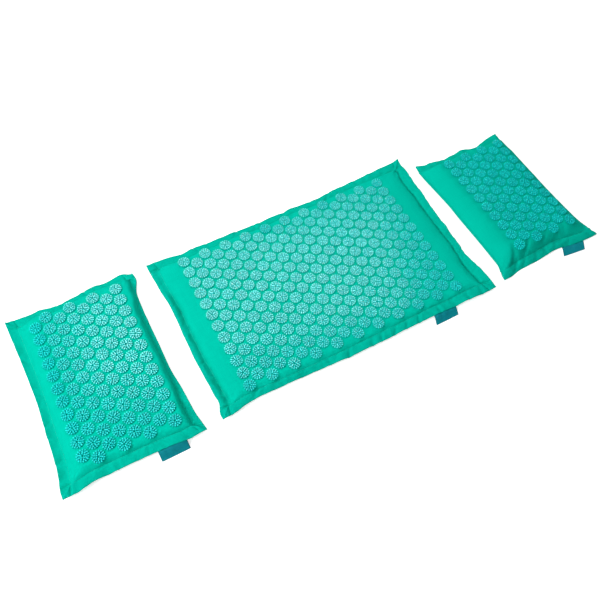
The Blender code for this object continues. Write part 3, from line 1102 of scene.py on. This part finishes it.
# The folds over a corner's ear: how far each leans from the middle one, in degrees, and its depth
EAR_FOLDS = ((-36, 0.0030), (-4, -0.0018), (32, 0.0028))
EAR_START = 0.003
EAR_WITHOUT_FLANGE = 0.006
EAR_LEAN = (-9, 9)
EAR_DEPTH_SHARE = (0.6, 1.3)
EAR_LENGTH_SHARE = (0.8, 1.05)
EAR_WIDTH = (0.0018, 0.0032)
# The creases that run in from a corner: their length in X and Y, depth and half width
INNER_X = (0.008, 0.026)
INNER_Y = (0.008, 0.024)
INNER_DEPTH = (0.0008, 0.0018)
INNER_WIDTH = (0.0025, 0.004)


def all_creases(cushion):
    """The cushion's own creases, folds that fan out over each corner's ear, and two that run in from it."""
    dice = random.Random(cushion.seed + 400)
    made = list(cushion.creases)
    for side_x, sign_x, seam_x in cushion.ends(0):
        for _, sign_y, seam_y in cushion.ends(1):
            ear = cushion.flanges[side_x] or EAR_WITHOUT_FLANGE
            corner = np.array([seam_x, seam_y])
            start = corner - np.array([sign_x, sign_y]) * EAR_START
            for lean, depth in EAR_FOLDS:
                angle = math.radians(45 + lean + dice.uniform(*EAR_LEAN))
                length = min(ear / math.cos(angle), FLANGE / math.sin(angle)) + 0.004
                way = np.array([sign_x * math.cos(angle), sign_y * math.sin(angle)])
                depth *= dice.uniform(*EAR_DEPTH_SHARE)
                end = start + way * length * dice.uniform(*EAR_LENGTH_SHARE)
                made.append((start + way * 0.002, end, depth, dice.uniform(*EAR_WIDTH)))
            for _ in range(2):
                inward = sign_x * dice.uniform(*INNER_X), sign_y * dice.uniform(*INNER_Y)
                end = corner - np.array(inward)
                made.append((start, end, dice.uniform(*INNER_DEPTH), dice.uniform(*INNER_WIDTH)))
    return made


# Waves of the cloth: how far apart their crests are along a seam or over the top
WIGGLE_WAVE = 0.047
DIP_WAVE = 0.061
FLANGE_WAVES = (0.085, 0.031)
TOP_WAVES = (0.21, 0.17)
TOP_WAVE_HEIGHT = 0.0005
WIGGLE = 0.0012
DIP_UNEVEN = 0.35
CREST_WIDTH = 0.005
TUCKED_FALL = 0.55
# How the puff starts at a disc's edge and dies away from it
PUFF_START = 0.0125
PUFF_RISE = 0.004
PUFF_END = 0.018
PUFF_FADE = 0.012


def cover_shape(cushion, u, v):
    """Real x, y, upper height, lower height and distance past the seam of each point of the flat pattern."""
    chosen = settings().cotton
    x, y = cushion.outline(u, v)
    distances, sides, across = cushion.beyond(u, v)
    square = np.maximum(distances[0], distances[1])
    out = cushion.past_seam(distances, sides)
    share = unit(square / FLANGE)

    def of_side(field):
        return cushion.rolled(field, sides, across)

    def drifting(wavelength, seed, along):
        return wander(along, wavelength, cushion.seed + seed)

    shape = cushion.loft(u, v)
    swell, nearest = cushion.pressed(x, y, cushion.stuffing(u, v))
    around = across * v + (1 - across) * u
    wiggle = WIGGLE * drifting(WIGGLE_WAVE, 80, around)
    depth = of_side("dip") * (1 + DIP_UNEVEN * drifting(DIP_WAVE, 81, around))
    reach = of_side("dip_reach")
    dip = depth * cushion.fading(sides, across, u, v) * np.exp(-(((out + wiggle) / reach) ** 2))
    crest = of_side("crest") * np.exp(-(((out - of_side("crest_at")) / CREST_WIDTH) ** 2))
    fall = of_side("fall") * share**2
    wave = np.zeros_like(u)
    gather = np.zeros_like(u)
    for side, roll in enumerate(cushion.rolls):
        if not cushion.flanges[side]:
            continue
        axis = side // 2
        along, weight = (u, 1 - across) if axis else (v, across)
        weight = weight * (sides[axis] == side)
        long_wave, short_wave = FLANGE_WAVES
        drift = drifting(long_wave, side, along) + 0.5 * drifting(short_wave, side + 50, along)
        wave += weight * roll.wave * drift * share**1.3
        gather += weight * puckers(cushion, side, along, distances[axis], chosen.pucker)
        fall = fall + weight * TUCKED_FALL * cushion.tuck(side, along) * share
    rest = drifting(TOP_WAVES[0], 70, u + 0.4 * v) * drifting(TOP_WAVES[1], 71, v - 0.3 * u)
    puff = chosen.puff * (unit((nearest - PUFF_START) / PUFF_RISE) - 0.4)
    puff = puff * np.exp(-((np.maximum(nearest - PUFF_END, 0) / PUFF_FADE) ** 2))
    puff *= unit(shape * 3 - 2)
    upper = cushion.base + swell - dip + crest - fall + wave + gather + puff
    upper = upper + TOP_WAVE_HEIGHT * rest * shape
    for crease in all_creases(cushion):
        upper -= crease_depth(u, v, crease)
    upper += cushion.corner_pull(u, v)[:, 2]
    moved = settled(cushion, u, v)
    x, y, upper = x + moved[:, 0], y + moved[:, 1], upper + moved[:, 2]
    edge = unit((FLANGE - square) / 0.0016)
    rounding = EDGE_ROUND * (1 - np.sqrt(1 - (1 - edge) ** 2))
    inside = cushion.inside(u, v)
    lower = (upper - 2 * CLOTH - LAYER_GAP) * (1 - inside) * (inside < 1)
    lower = np.where(square > 0, upper - 2 * CLOTH - LAYER_GAP + rounding, lower)
    upper = upper - np.where(square > 0, rounding, 0)
    lift = np.maximum(0.0002 - lower, 0) * (square > 0)
    return x, y, upper + lift, np.maximum(lower + lift, 0), out


def cotton_shades(mesh, cushion, pattern, outline, out):
    """Painted shade on the cotton along the seams, in the hollows and beside the discs, and where the cotton is
    thin or worn.
    """
    u, v, layer = pattern
    distances, sides, across = cushion.beyond(u, v)
    around = across * v + (1 - across) * u
    # Painted shade along each seam, uneven along it and faded where the rolls say
    uneven = 0.75 + 0.25 * wander(around, 0.022, cushion.seed + 90)
    uneven *= cushion.fading(sides, across, u, v)
    width = cushion.rolled("shade_width", sides, across)
    groove = cushion.rolled("shade", sides, across) * uneven * np.exp(-((out / width) ** 2))
    # Painted shade along the listed lines
    for painted_shade_line in cushion.hollows:
        groove += crease_depth(u, v, painted_shade_line)
    # Painted shade on the cloth beside each disc, fading with the gap
    gap = np.maximum(cushion.nearest_disc(*outline)[0] - DISC_RADIUS, 0)
    groove += cushion.disc_shade * np.exp(-((gap / DISC_SHADE_REACH) ** 2))
    point_values(mesh, "groove", groove * (layer > 0))
    point_values(mesh, "unbacked", unit((out + 0.003) / 0.009))
    square = np.maximum(distances[0], distances[1])
    point_values(mesh, "worn_edge", unit((square - FLANGE + 0.0015) / 0.0015))


def cover(cushion):
    """The cotton cover: one closed sheet round the foam, flat on the floor, with its flanges."""
    settle(cushion)
    flat = UNDER_SHOULDER + FLAT_MARGIN
    inset = [seam - sign * flat for axis in (0, 1) for _, sign, seam in cushion.ends(axis)]
    bm = slab(cushion.lines(0), cushion.lines(1), inset)
    mesh = mesh_from(bm, f"{cushion.name}_cover")
    u, v, layer = points_of(mesh)
    x, y, upper, lower, out = cover_shape(cushion, u, v)
    rim = layer == 0
    x = np.where(rim & (np.abs(u) > cushion.half(0) - 1e-6), x + np.sign(u) * EDGE_ROUND, x)
    y = np.where(rim & (np.abs(v) > cushion.half(1) - 1e-6), y + np.sign(v) * EDGE_ROUND, y)
    cotton_shades(mesh, cushion, (u, v, layer), (x, y), out)
    set_points(mesh, cushion, x, y, np.where(rim, (upper + lower) / 2, np.where(layer > 0, upper, lower)))
    piece = add_piece(mesh, cushion.name, material(dyed_cotton))
    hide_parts(f"{cushion.name}_top_panel", f"{cushion.name}_bottom_panel")


def core(cushion):
    """The foam core: the cover's own shape drawn in by the cloth and a little air."""
    lines = []
    for axis in (0, 1):
        low, high = [
            quarter_round(seam, -sign, CORE_INSET, cushion.slopes[side], CORE_SLOPE_STEPS)
            for side, sign, seam in cushion.ends(axis)
        ]
        lines.append(np.array(low + spaced(low[-1], high[-1], CORE_STEP)[1:] + high[::-1]))
    mesh = mesh_from(slab(*lines), f"{cushion.name}_core")
    u, v, layer = points_of(mesh)
    x, y, upper, _, _ = cover_shape(cushion, u, v)
    drawn = []
    for axis, along in enumerate((u, v)):
        low, high = cushion.seams(axis)
        middle = (low + high) / 2
        drawn.append(middle + (along - middle) * ((high - low) / 2 + CORE_DRAW) / ((high - low) / 2))
    outward = cover_shape(cushion, *drawn)[2]
    pressed = np.zeros_like(u)
    for start, end, depth, width in all_creases(cushion):
        wider = start, end, max(depth, 0), width + CORE_CREASE_ROOM
        pressed = np.maximum(pressed, crease_depth(u, v, wider))
    top = np.minimum(upper, outward) - CORE_SKIN - pressed
    bottom = CLOTH + CORE_FLOOR_GAP + (cushion.seam_height * 0.6) * (1 - cushion.inside(u, v))
    bottom = np.minimum(bottom, top - CORE_THINNEST)
    z = np.where(layer > 0, top, np.where(layer < 0, bottom, (top + bottom) / 2))
    set_points(mesh, cushion, x, y, z)
    piece = add_piece(mesh, cushion.name, material(open_cell_foam))
    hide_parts(f"{cushion.name}_foam")


# Each ring of spikes: how many, its radius, where it starts as a share of one step, and how broad they are
SPIKE_RINGS = ((15, 0.0108, 0.0, 1.0), (9, 0.0071, 0.3, 1.0), (5, 0.0037, 0.1, 1.1))
SPIKE_BASE = (0.0034, 0.0025)
SPIKE_TIP = (0.0029, 0.0022)
SPIKE_LEAN = 0.0003
SPIKE_ROOT = 0.0004
# The tip value: painted shade at the spike bases, uneven painted light on the tips, the middle that the
# contrast scales round, and how fast the painted light fades down a spike
SPIKE_BASE_PAINTED_SHADE = 0.38
SPIKE_UNEVEN = 0.32
SPIKE_MIDDLE_TONE = 0.82
SPIKE_FADE = 1.9
# A disc's plate: every second corner stands a little further in
PLATE_RADIUS = 0.0120
PLATE_SIDES = 20
PLATE_SCALLOP = 0.965
HOLE_RADIUS = 0.0018


def disc_template():
    """One disc at the origin: a scalloped plate with a centre hole and rings of tapered spikes."""
    chosen = settings().discs
    bm = bmesh.new()
    tip = bm.verts.layers.float.new("tip")
    bm.verts.layers.float.new("tone")
    bmesh.ops.create_circle(bm, cap_ends=False, segments=PLATE_SIDES, radius=PLATE_RADIUS)
    outline = bm.edges[:]
    for vert in bm.verts[:][1::2]:
        vert.co *= PLATE_SCALLOP
    verts, edges = extruded(bm, outline)
    bmesh.ops.translate(bm, vec=(0, 0, chosen.plate * 0.7), verts=verts)
    verts, edges = extruded(bm, edges)
    for vert in verts:
        vert.co.x *= HOLE_RADIUS / PLATE_RADIUS
        vert.co.y *= HOLE_RADIUS / PLATE_RADIUS
        vert.co.z = chosen.plate
    verts, edges = extruded(bm, edges)
    for vert in verts:
        vert.co.z = 0
    bmesh.ops.bridge_loops(bm, edges=outline + edges)
    for count, ring, phase, breadth in SPIKE_RINGS:
        for place in range(count):
            spin = Matrix.Rotation(2 * math.pi * (place + phase) / count, 4, "Z")
            made = bmesh.ops.create_cube(bm, size=1.0)["verts"]
            for vert in made:
                high = vert.co.z > 0
                long, wide = SPIKE_TIP if high else SPIKE_BASE
                vert.co = (
                    ring + vert.co.x * long + (SPIKE_LEAN if high else 0.0),
                    vert.co.y * wide * breadth,
                    chosen.plate + (chosen.spike if high else -SPIKE_ROOT),
                )
                # Painted light at the spike's tip, painted shade at its base
                vert[tip] = 1.0 - SPIKE_UNEVEN * (place * 5 % 7) / 6 if high else SPIKE_BASE_PAINTED_SHADE
            bmesh.ops.transform(bm, matrix=spin, verts=made)
    bmesh.ops.recalc_face_normals(bm, faces=bm.faces)
    return mesh_from(bm, "disc_template")


def stamped(bm, template, matrix):
    """Adds a template's mesh, placed by a matrix: its vertices."""
    before = len(bm.verts)
    bm.from_mesh(template)
    bm.verts.ensure_lookup_table()
    added = bm.verts[before:]
    bmesh.ops.transform(bm, matrix=matrix, verts=added)
    return added


def seat(tree, cushion, spot):
    """The matrix that sets a disc down on the cover, tilted as the cloth is under it."""
    points = []
    for share in (0.3, 0.55, 0.78):
        for step in range(12):
            angle, reach = 2 * math.pi * step / 12, DISC_RADIUS * share
            over = Vector((spot[0] + reach * math.cos(angle), spot[1] + reach * math.sin(angle), 0.2))
            points.append(tree.ray_cast(cushion.to_frame() @ over, Vector((0, 0, -1)))[0])
    points = np.array(points)
    middle = points.mean(0)
    slope = np.linalg.lstsq(points[:, :2] - middle[:2], points[:, 2] - middle[2], rcond=None)[0]
    normal = Vector((-slope[0], -slope[1], 1.0)).normalized()
    centre = cushion.to_frame() @ Vector((*spot, 0.0))
    centre.z = middle[2] + slope[0] * (centre.x - middle[0]) + slope[1] * (centre.y - middle[1])
    high = max(Vector(point - np.array(centre)).dot(normal) for point in points)
    centre += normal * (0.5 * high - 0.0001)
    return Matrix.Translation(centre) @ normal.to_track_quat("Z", "Y").to_matrix().to_4x4()


def disc_columns(cushion):
    """The spiked discs, one piece for each column, each disc turned its own way."""
    template = bpy.data.meshes.get("disc_template") or disc_template()
    covering = bpy.data.objects[f"{cushion.name}_cover"]
    tree = BVHTree.FromObject(covering, bpy.context.evaluated_depsgraph_get())
    dice = random.Random(cushion.seed)
    for column in range(cushion.columns):
        bm = bmesh.new()
        for spot in cushion.disc_spots(column):
            shade = dice.random()
            spin = Matrix.Rotation(dice.uniform(0, 2 * math.pi), 4, "Z")
            added = stamped(bm, template, seat(tree, cushion, spot) @ spin)
            tone, tip = (bm.verts.layers.float[name] for name in ("tone", "tip"))
            for vert in added:
                vert[tone] = shade
                # Stretches the spikes' painted light and shade by the cushion's contrast
                vert[tip] = SPIKE_MIDDLE_TONE + (vert[tip] - SPIKE_MIDDLE_TONE) * cushion.disc_contrast
        mesh = mesh_from(bm, f"{cushion.name}_spiked_discs_{column + 1:02d}")
        piece = add_piece(mesh, cushion.name, material(moulded_plastic), smooth_shaded=False)
        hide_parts(f"{cushion.name}_discs_{column + 1:02d}")


# The sewing thread and its stitches
THREAD_RADIUS = 0.00028
STITCH_GAP = 0.0008
STITCH_HEIGHT = 0.00005
STITCH_ARCH = 0.00022


def seam_route(cushion, side):
    """Points of one seam line in the flat pattern, a stitch and a small gap apart."""
    axis = side // 2
    low, high = cushion.seams(1 - axis)
    along = np.array(spaced(low, high, settings().trim.stitch + STITCH_GAP) + [high])
    still = np.full_like(along, cushion.seams(axis)[side % 2])
    return (still, along) if axis == 0 else (along, still)


def stitch_template():
    """One stitch along X: a short bead of thread, arched so that its ends dip into the cloth."""
    length, radius = settings().trim.stitch, THREAD_RADIUS
    bm = bmesh.new()
    lying = Matrix.Rotation(math.pi / 2, 4, "Y")
    bmesh.ops.create_cone(
        bm, cap_ends=True, segments=6, radius1=radius, radius2=radius, depth=length, matrix=lying
    )
    geometry = bm.verts[:] + bm.edges[:] + bm.faces[:]
    bmesh.ops.bisect_plane(bm, geom=geometry, plane_co=(0, 0, 0), plane_no=(1, 0, 0))
    for vert in bm.verts:
        vert.co.z += STITCH_HEIGHT - STITCH_ARCH * (2 * vert.co.x / length) ** 2
    return mesh_from(bm, "stitch_template")


def stitching(cushion):
    """Lockstitches along the flange seams, on the upper and the lower side."""
    template = bpy.data.meshes.get("stitch_template") or stitch_template()
    bm = bmesh.new()
    for side, flange in enumerate(cushion.flanges):
        if not flange:
            continue
        x, y, upper, lower, _ = cover_shape(cushion, *seam_route(cushion, side))
        for height, sign in ((upper, 1), (lower, -1)):
            points = [Vector(point) for point in zip(x, y, height)]
            for start, end in zip(points, points[1:]):
                along = (end - start).normalized()
                across = Vector((0, 0, sign)).cross(along).normalized()
                turn = Matrix((along, across, along.cross(across))).transposed().to_4x4()
                stamped(bm, template, Matrix.Translation((start + end) / 2) @ turn)
    bm.transform(cushion.to_frame())
    mesh = mesh_from(bm, f"{cushion.name}_stitching")
    add_piece(mesh, cushion.name, material(sewing_thread))


# A label's cloth, folded once
LABEL_THICKNESS = 0.0009
LABEL_CURL = 0.0008
LABEL_BULGE = 0.0006
LABEL_ROOT_GAP = 0.0008
LABEL_END_HEIGHT = 0.0010
LABEL_ROUND = 0.0002
LABEL_STEPS = (0.002, 0.0012)
SELVEDGE_WIDTH = 0.0025


def label(cushion):
    """The bare label: a ribbon folded at its far end, sewn under the flange and falling to the floor."""
    middle, edge = cushion.label_middle, -cushion.half(1)
    half = LABEL_WIDTH / 2
    along = np.linspace(-half - 0.002, half + 0.002, 15)

    def cloth_at(inward):
        return cover_shape(cushion, middle + along, np.full_like(along, edge + inward))

    edge_x, edge_y, _, _, _ = cloth_at(0.0)
    under = np.minimum(cloth_at(LABEL_TUCK)[3], cloth_at(0.001)[3])
    front = float(np.interp(middle, edge_x, edge_y))
    lines_x = np.array(spaced(-half, half, LABEL_STEPS[0]) + [half])
    lines_y = np.array(spaced(-cushion.label_drop, LABEL_TUCK, LABEL_STEPS[1]) + [LABEL_TUCK])
    bm = slab(lines_x, lines_y)
    selvedge = bm.verts.layers.float.new("selvedge")
    turn = Matrix.Rotation(cushion.label_turn, 3, "Z")
    for vert in bm.verts:
        across, y, layer = vert.co
        down = min(max(-y / cushion.label_drop, 0.0), 1.0)
        ease = smooth(down)
        curl = LABEL_CURL * math.sin(across / LABEL_WIDTH * math.pi * 1.4 + cushion.seed) * down
        root = float(np.interp(middle + across, edge_x, under)) - LABEL_ROOT_GAP
        z = root * (1 - ease) + LABEL_END_HEIGHT * ease + curl * 0.6 + LABEL_BULGE * math.sin(down * math.pi)
        tip = LABEL_THICKNESS / 2 * (1 if down < 0.96 else 0.8)
        vert[selvedge] = max(0.0, 1 - (half - abs(across)) / SELVEDGE_WIDTH)
        bulge = (LABEL_ROUND if layer == 0 else 0.0) * (1 if across > 0 else -1)
        spot = turn @ Vector((across + bulge + cushion.label_skew * min(y, 0.0), y, 0.0))
        vert.co = (middle + spot.x, front + spot.y, max(z + layer * tip, 0.0001 + (layer + 1) * tip))
    bm.transform(cushion.to_frame())
    mesh = mesh_from(bm, f"{cushion.name}_ribbon_label")
    piece = add_piece(mesh, cushion.name, material(woven_ribbon))
    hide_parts(f"{cushion.name}_label")


# Stage

CAMERA_AZIMUTH = math.radians(-31.724)
CAMERA_ELEVATION = math.radians(59.778)
CAMERA_ROLL = math.radians(3.768)
CAMERA_DISTANCE = 1.3552
CAMERA_TARGET = Vector((-0.07226, -0.03188, 0.0))
CAMERA_LENS = 37.56
# The softboxes: where each stands, where it aims and its size
SOFTBOXES = {
    "key": ((-2.2, -0.1, 1.9), (-0.1, 0.0, 0.0), (1.4, 1.4)),
    "top": ((0.25, 1.15, 2.0), (0.0, 0.0, 0.0), (2.0, 0.8)),
    "front": ((-0.5, -1.6, 1.7), (-0.2, 0.0, 0.0), (2.0, 1.2)),
}
# Just under the lowest stitches
FLOOR_HEIGHT = -0.0004


def camera():
    """The camera at the photograph's angle."""
    azimuth, elevation, roll = CAMERA_AZIMUTH, CAMERA_ELEVATION, CAMERA_ROLL
    level = math.cos(elevation)
    back = Vector((math.sin(azimuth) * level, -math.cos(azimuth) * level, math.sin(elevation)))
    right = Vector((math.cos(azimuth), math.sin(azimuth), 0.0))
    up = back.cross(right)
    rolled_right = right * math.cos(roll) + up * math.sin(roll)
    rolled_up = up * math.cos(roll) - right * math.sin(roll)
    turn = Matrix((rolled_right, rolled_up, back)).transposed().to_4x4()
    lens = bpy.data.cameras.new("camera")
    lens.sensor_width = 36.0
    lens.lens = CAMERA_LENS
    lens.clip_start = 0.01
    made = linked("camera", lens)
    made.matrix_world = Matrix.Translation(CAMERA_TARGET + back * CAMERA_DISTANCE) @ turn
    bpy.context.scene.camera = made


def softbox(name, power):
    place, aim, size = SOFTBOXES[name]
    data = bpy.data.lights.new(name, "AREA")
    data.shape = "RECTANGLE"
    data.size, data.size_y = size
    data.energy = power
    made = linked(name, data)
    made.location = place
    made.rotation_mode = "QUATERNION"
    made.rotation_quaternion = (Vector(aim) - Vector(place)).to_track_quat("-Z", "Y")


def seen_by_camera(made):
    return made.node("ShaderNodeLightPath").outputs["Is Camera Ray"]


def floor():
    """A plain pale floor that looks white from the camera and keeps the soft shadow."""
    bm = bmesh.new()
    bmesh.ops.create_grid(bm, x_segments=1, y_segments=1, size=12.0)
    bmesh.ops.translate(bm, vec=(0, 0, FLOOR_HEIGHT), verts=bm.verts)
    mesh = mesh_from(bm, "floor")
    surface = Nodes(bpy.data.materials.new("pale_floor"))
    surface.nodes.clear()
    diffuse = surface.node("ShaderNodeBsdfDiffuse", Color=(0.90, 0.90, 0.90, 1.0))
    glow = surface.node("ShaderNodeEmission", Strength=surface.times(seen_by_camera(surface), 0.65))
    total = surface.node("ShaderNodeAddShader", diffuse.outputs[0], glow.outputs[0])
    surface.node("ShaderNodeOutputMaterial", Surface=total.outputs[0])
    mesh.materials.append(surface.owner)
    made = linked("floor", mesh)


def world(level):
    """Even light from all round, which the camera sees as white."""
    made = Nodes(bpy.data.worlds.new("studio"))
    bpy.context.scene.world = made.owner
    seen = made.node("ShaderNodeMix", seen_by_camera(made))
    seen.inputs[2].default_value = level
    seen.inputs[3].default_value = 1.0
    made.fill(made.nodes["Background"], Color=(1.0, 1.0, 1.0, 1.0), Strength=seen.outputs[0])


# Operators


class CushionOperator:
    """What the operators for one cushion's pieces share."""

    bl_options = {"REGISTER", "UNDO"}
    cushion: bpy.props.EnumProperty(
        name="Cushion",
        description="The cushion that the pieces belong to",
        items=[(name, name.replace("_", " ").capitalize(), "") for name in CUSHIONS],
    )


class ACUPRESSURE_OT_cover(CushionOperator, bpy.types.Operator):
    """Makes the cotton cover of a cushion"""

    bl_idname = "acupressure.cover"
    bl_label = "Cover"

    def execute(self, context):
        cover(CUSHIONS[self.cushion])
        return {"FINISHED"}


class ACUPRESSURE_OT_core(CushionOperator, bpy.types.Operator):
    """Makes the foam core of a cushion"""

    bl_idname = "acupressure.core"
    bl_label = "Foam core"

    def execute(self, context):
        core(CUSHIONS[self.cushion])
        return {"FINISHED"}


class ACUPRESSURE_OT_discs(CushionOperator, bpy.types.Operator):
    """Sets the columns of spiked discs on a cushion's cover"""

    bl_idname = "acupressure.discs"
    bl_label = "Spiked discs"

    def execute(self, context):
        disc_columns(CUSHIONS[self.cushion])
        return {"FINISHED"}


class ACUPRESSURE_OT_stitching(CushionOperator, bpy.types.Operator):
    """Sews the flange seams of a cushion"""

    bl_idname = "acupressure.stitching"
    bl_label = "Stitching"

    def execute(self, context):
        stitching(CUSHIONS[self.cushion])
        return {"FINISHED"}


class ACUPRESSURE_OT_label(CushionOperator, bpy.types.Operator):
    """Makes the bare label of a cushion"""

    bl_idname = "acupressure.label"
    bl_label = "Label"

    def execute(self, context):
        label(CUSHIONS[self.cushion])
        return {"FINISHED"}


class ACUPRESSURE_OT_studio(bpy.types.Operator):
    """Sets up the floor, the lights and the camera"""

    bl_idname = "acupressure.studio"
    bl_label = "Studio"
    bl_options = {"REGISTER", "UNDO"}

    def execute(self, context):
        chosen = settings().studio
        floor()
        world(chosen.fill)
        for name in SOFTBOXES:
            softbox(name, getattr(chosen, name))
        camera()
        context.scene.view_settings.view_transform = "Standard"
        return {"FINISHED"}


PIECE_OPERATORS = (
    ACUPRESSURE_OT_cover,
    ACUPRESSURE_OT_core,
    ACUPRESSURE_OT_discs,
    ACUPRESSURE_OT_stitching,
    ACUPRESSURE_OT_label,
)


class ACUPRESSURE_PT_panel(bpy.types.Panel):
    """The set's pieces and settings"""

    bl_idname = "ACUPRESSURE_PT_panel"
    bl_label = "Acupressure set"
    bl_space_type = "VIEW_3D"
    bl_region_type = "UI"
    bl_category = "Acupressure"

    def draw(self, context):
        layout = self.layout
        for operator in PIECE_OPERATORS:
            row = layout.column(align=True)
            for name in CUSHIONS:
                row.operator(operator.bl_idname, text=f"{operator.bl_label}: {name}").cushion = name
        layout.operator(ACUPRESSURE_OT_studio.bl_idname)
        chosen = context.scene.acupressure_set
        for group in (chosen.cotton, chosen.discs, chosen.trim, chosen.studio):
            box = layout.box()
            for key in group.__annotations__:
                box.prop(group, key)


CLASSES = (
    CottonSettings,
    DiscSettings,
    TrimSettings,
    StudioSettings,
    SetSettings,
    *PIECE_OPERATORS,
    ACUPRESSURE_OT_studio,
    ACUPRESSURE_PT_panel,
)


def register():
    for made in CLASSES:
        bpy.utils.register_class(made)
    bpy.types.Scene.acupressure_set = bpy.props.PointerProperty(type=SetSettings)


def unregister():
    del bpy.types.Scene.acupressure_set
    for made in reversed(CLASSES):
        bpy.utils.unregister_class(made)


def main():
    register()
    for name in CUSHIONS:
        bpy.ops.acupressure.cover(cushion=name)
        bpy.ops.acupressure.core(cushion=name)
        bpy.ops.acupressure.discs(cushion=name)
        bpy.ops.acupressure.stitching(cushion=name)
        bpy.ops.acupressure.label(cushion=name)
    bpy.ops.acupressure.studio()


if __name__ == "__main__":
    main()
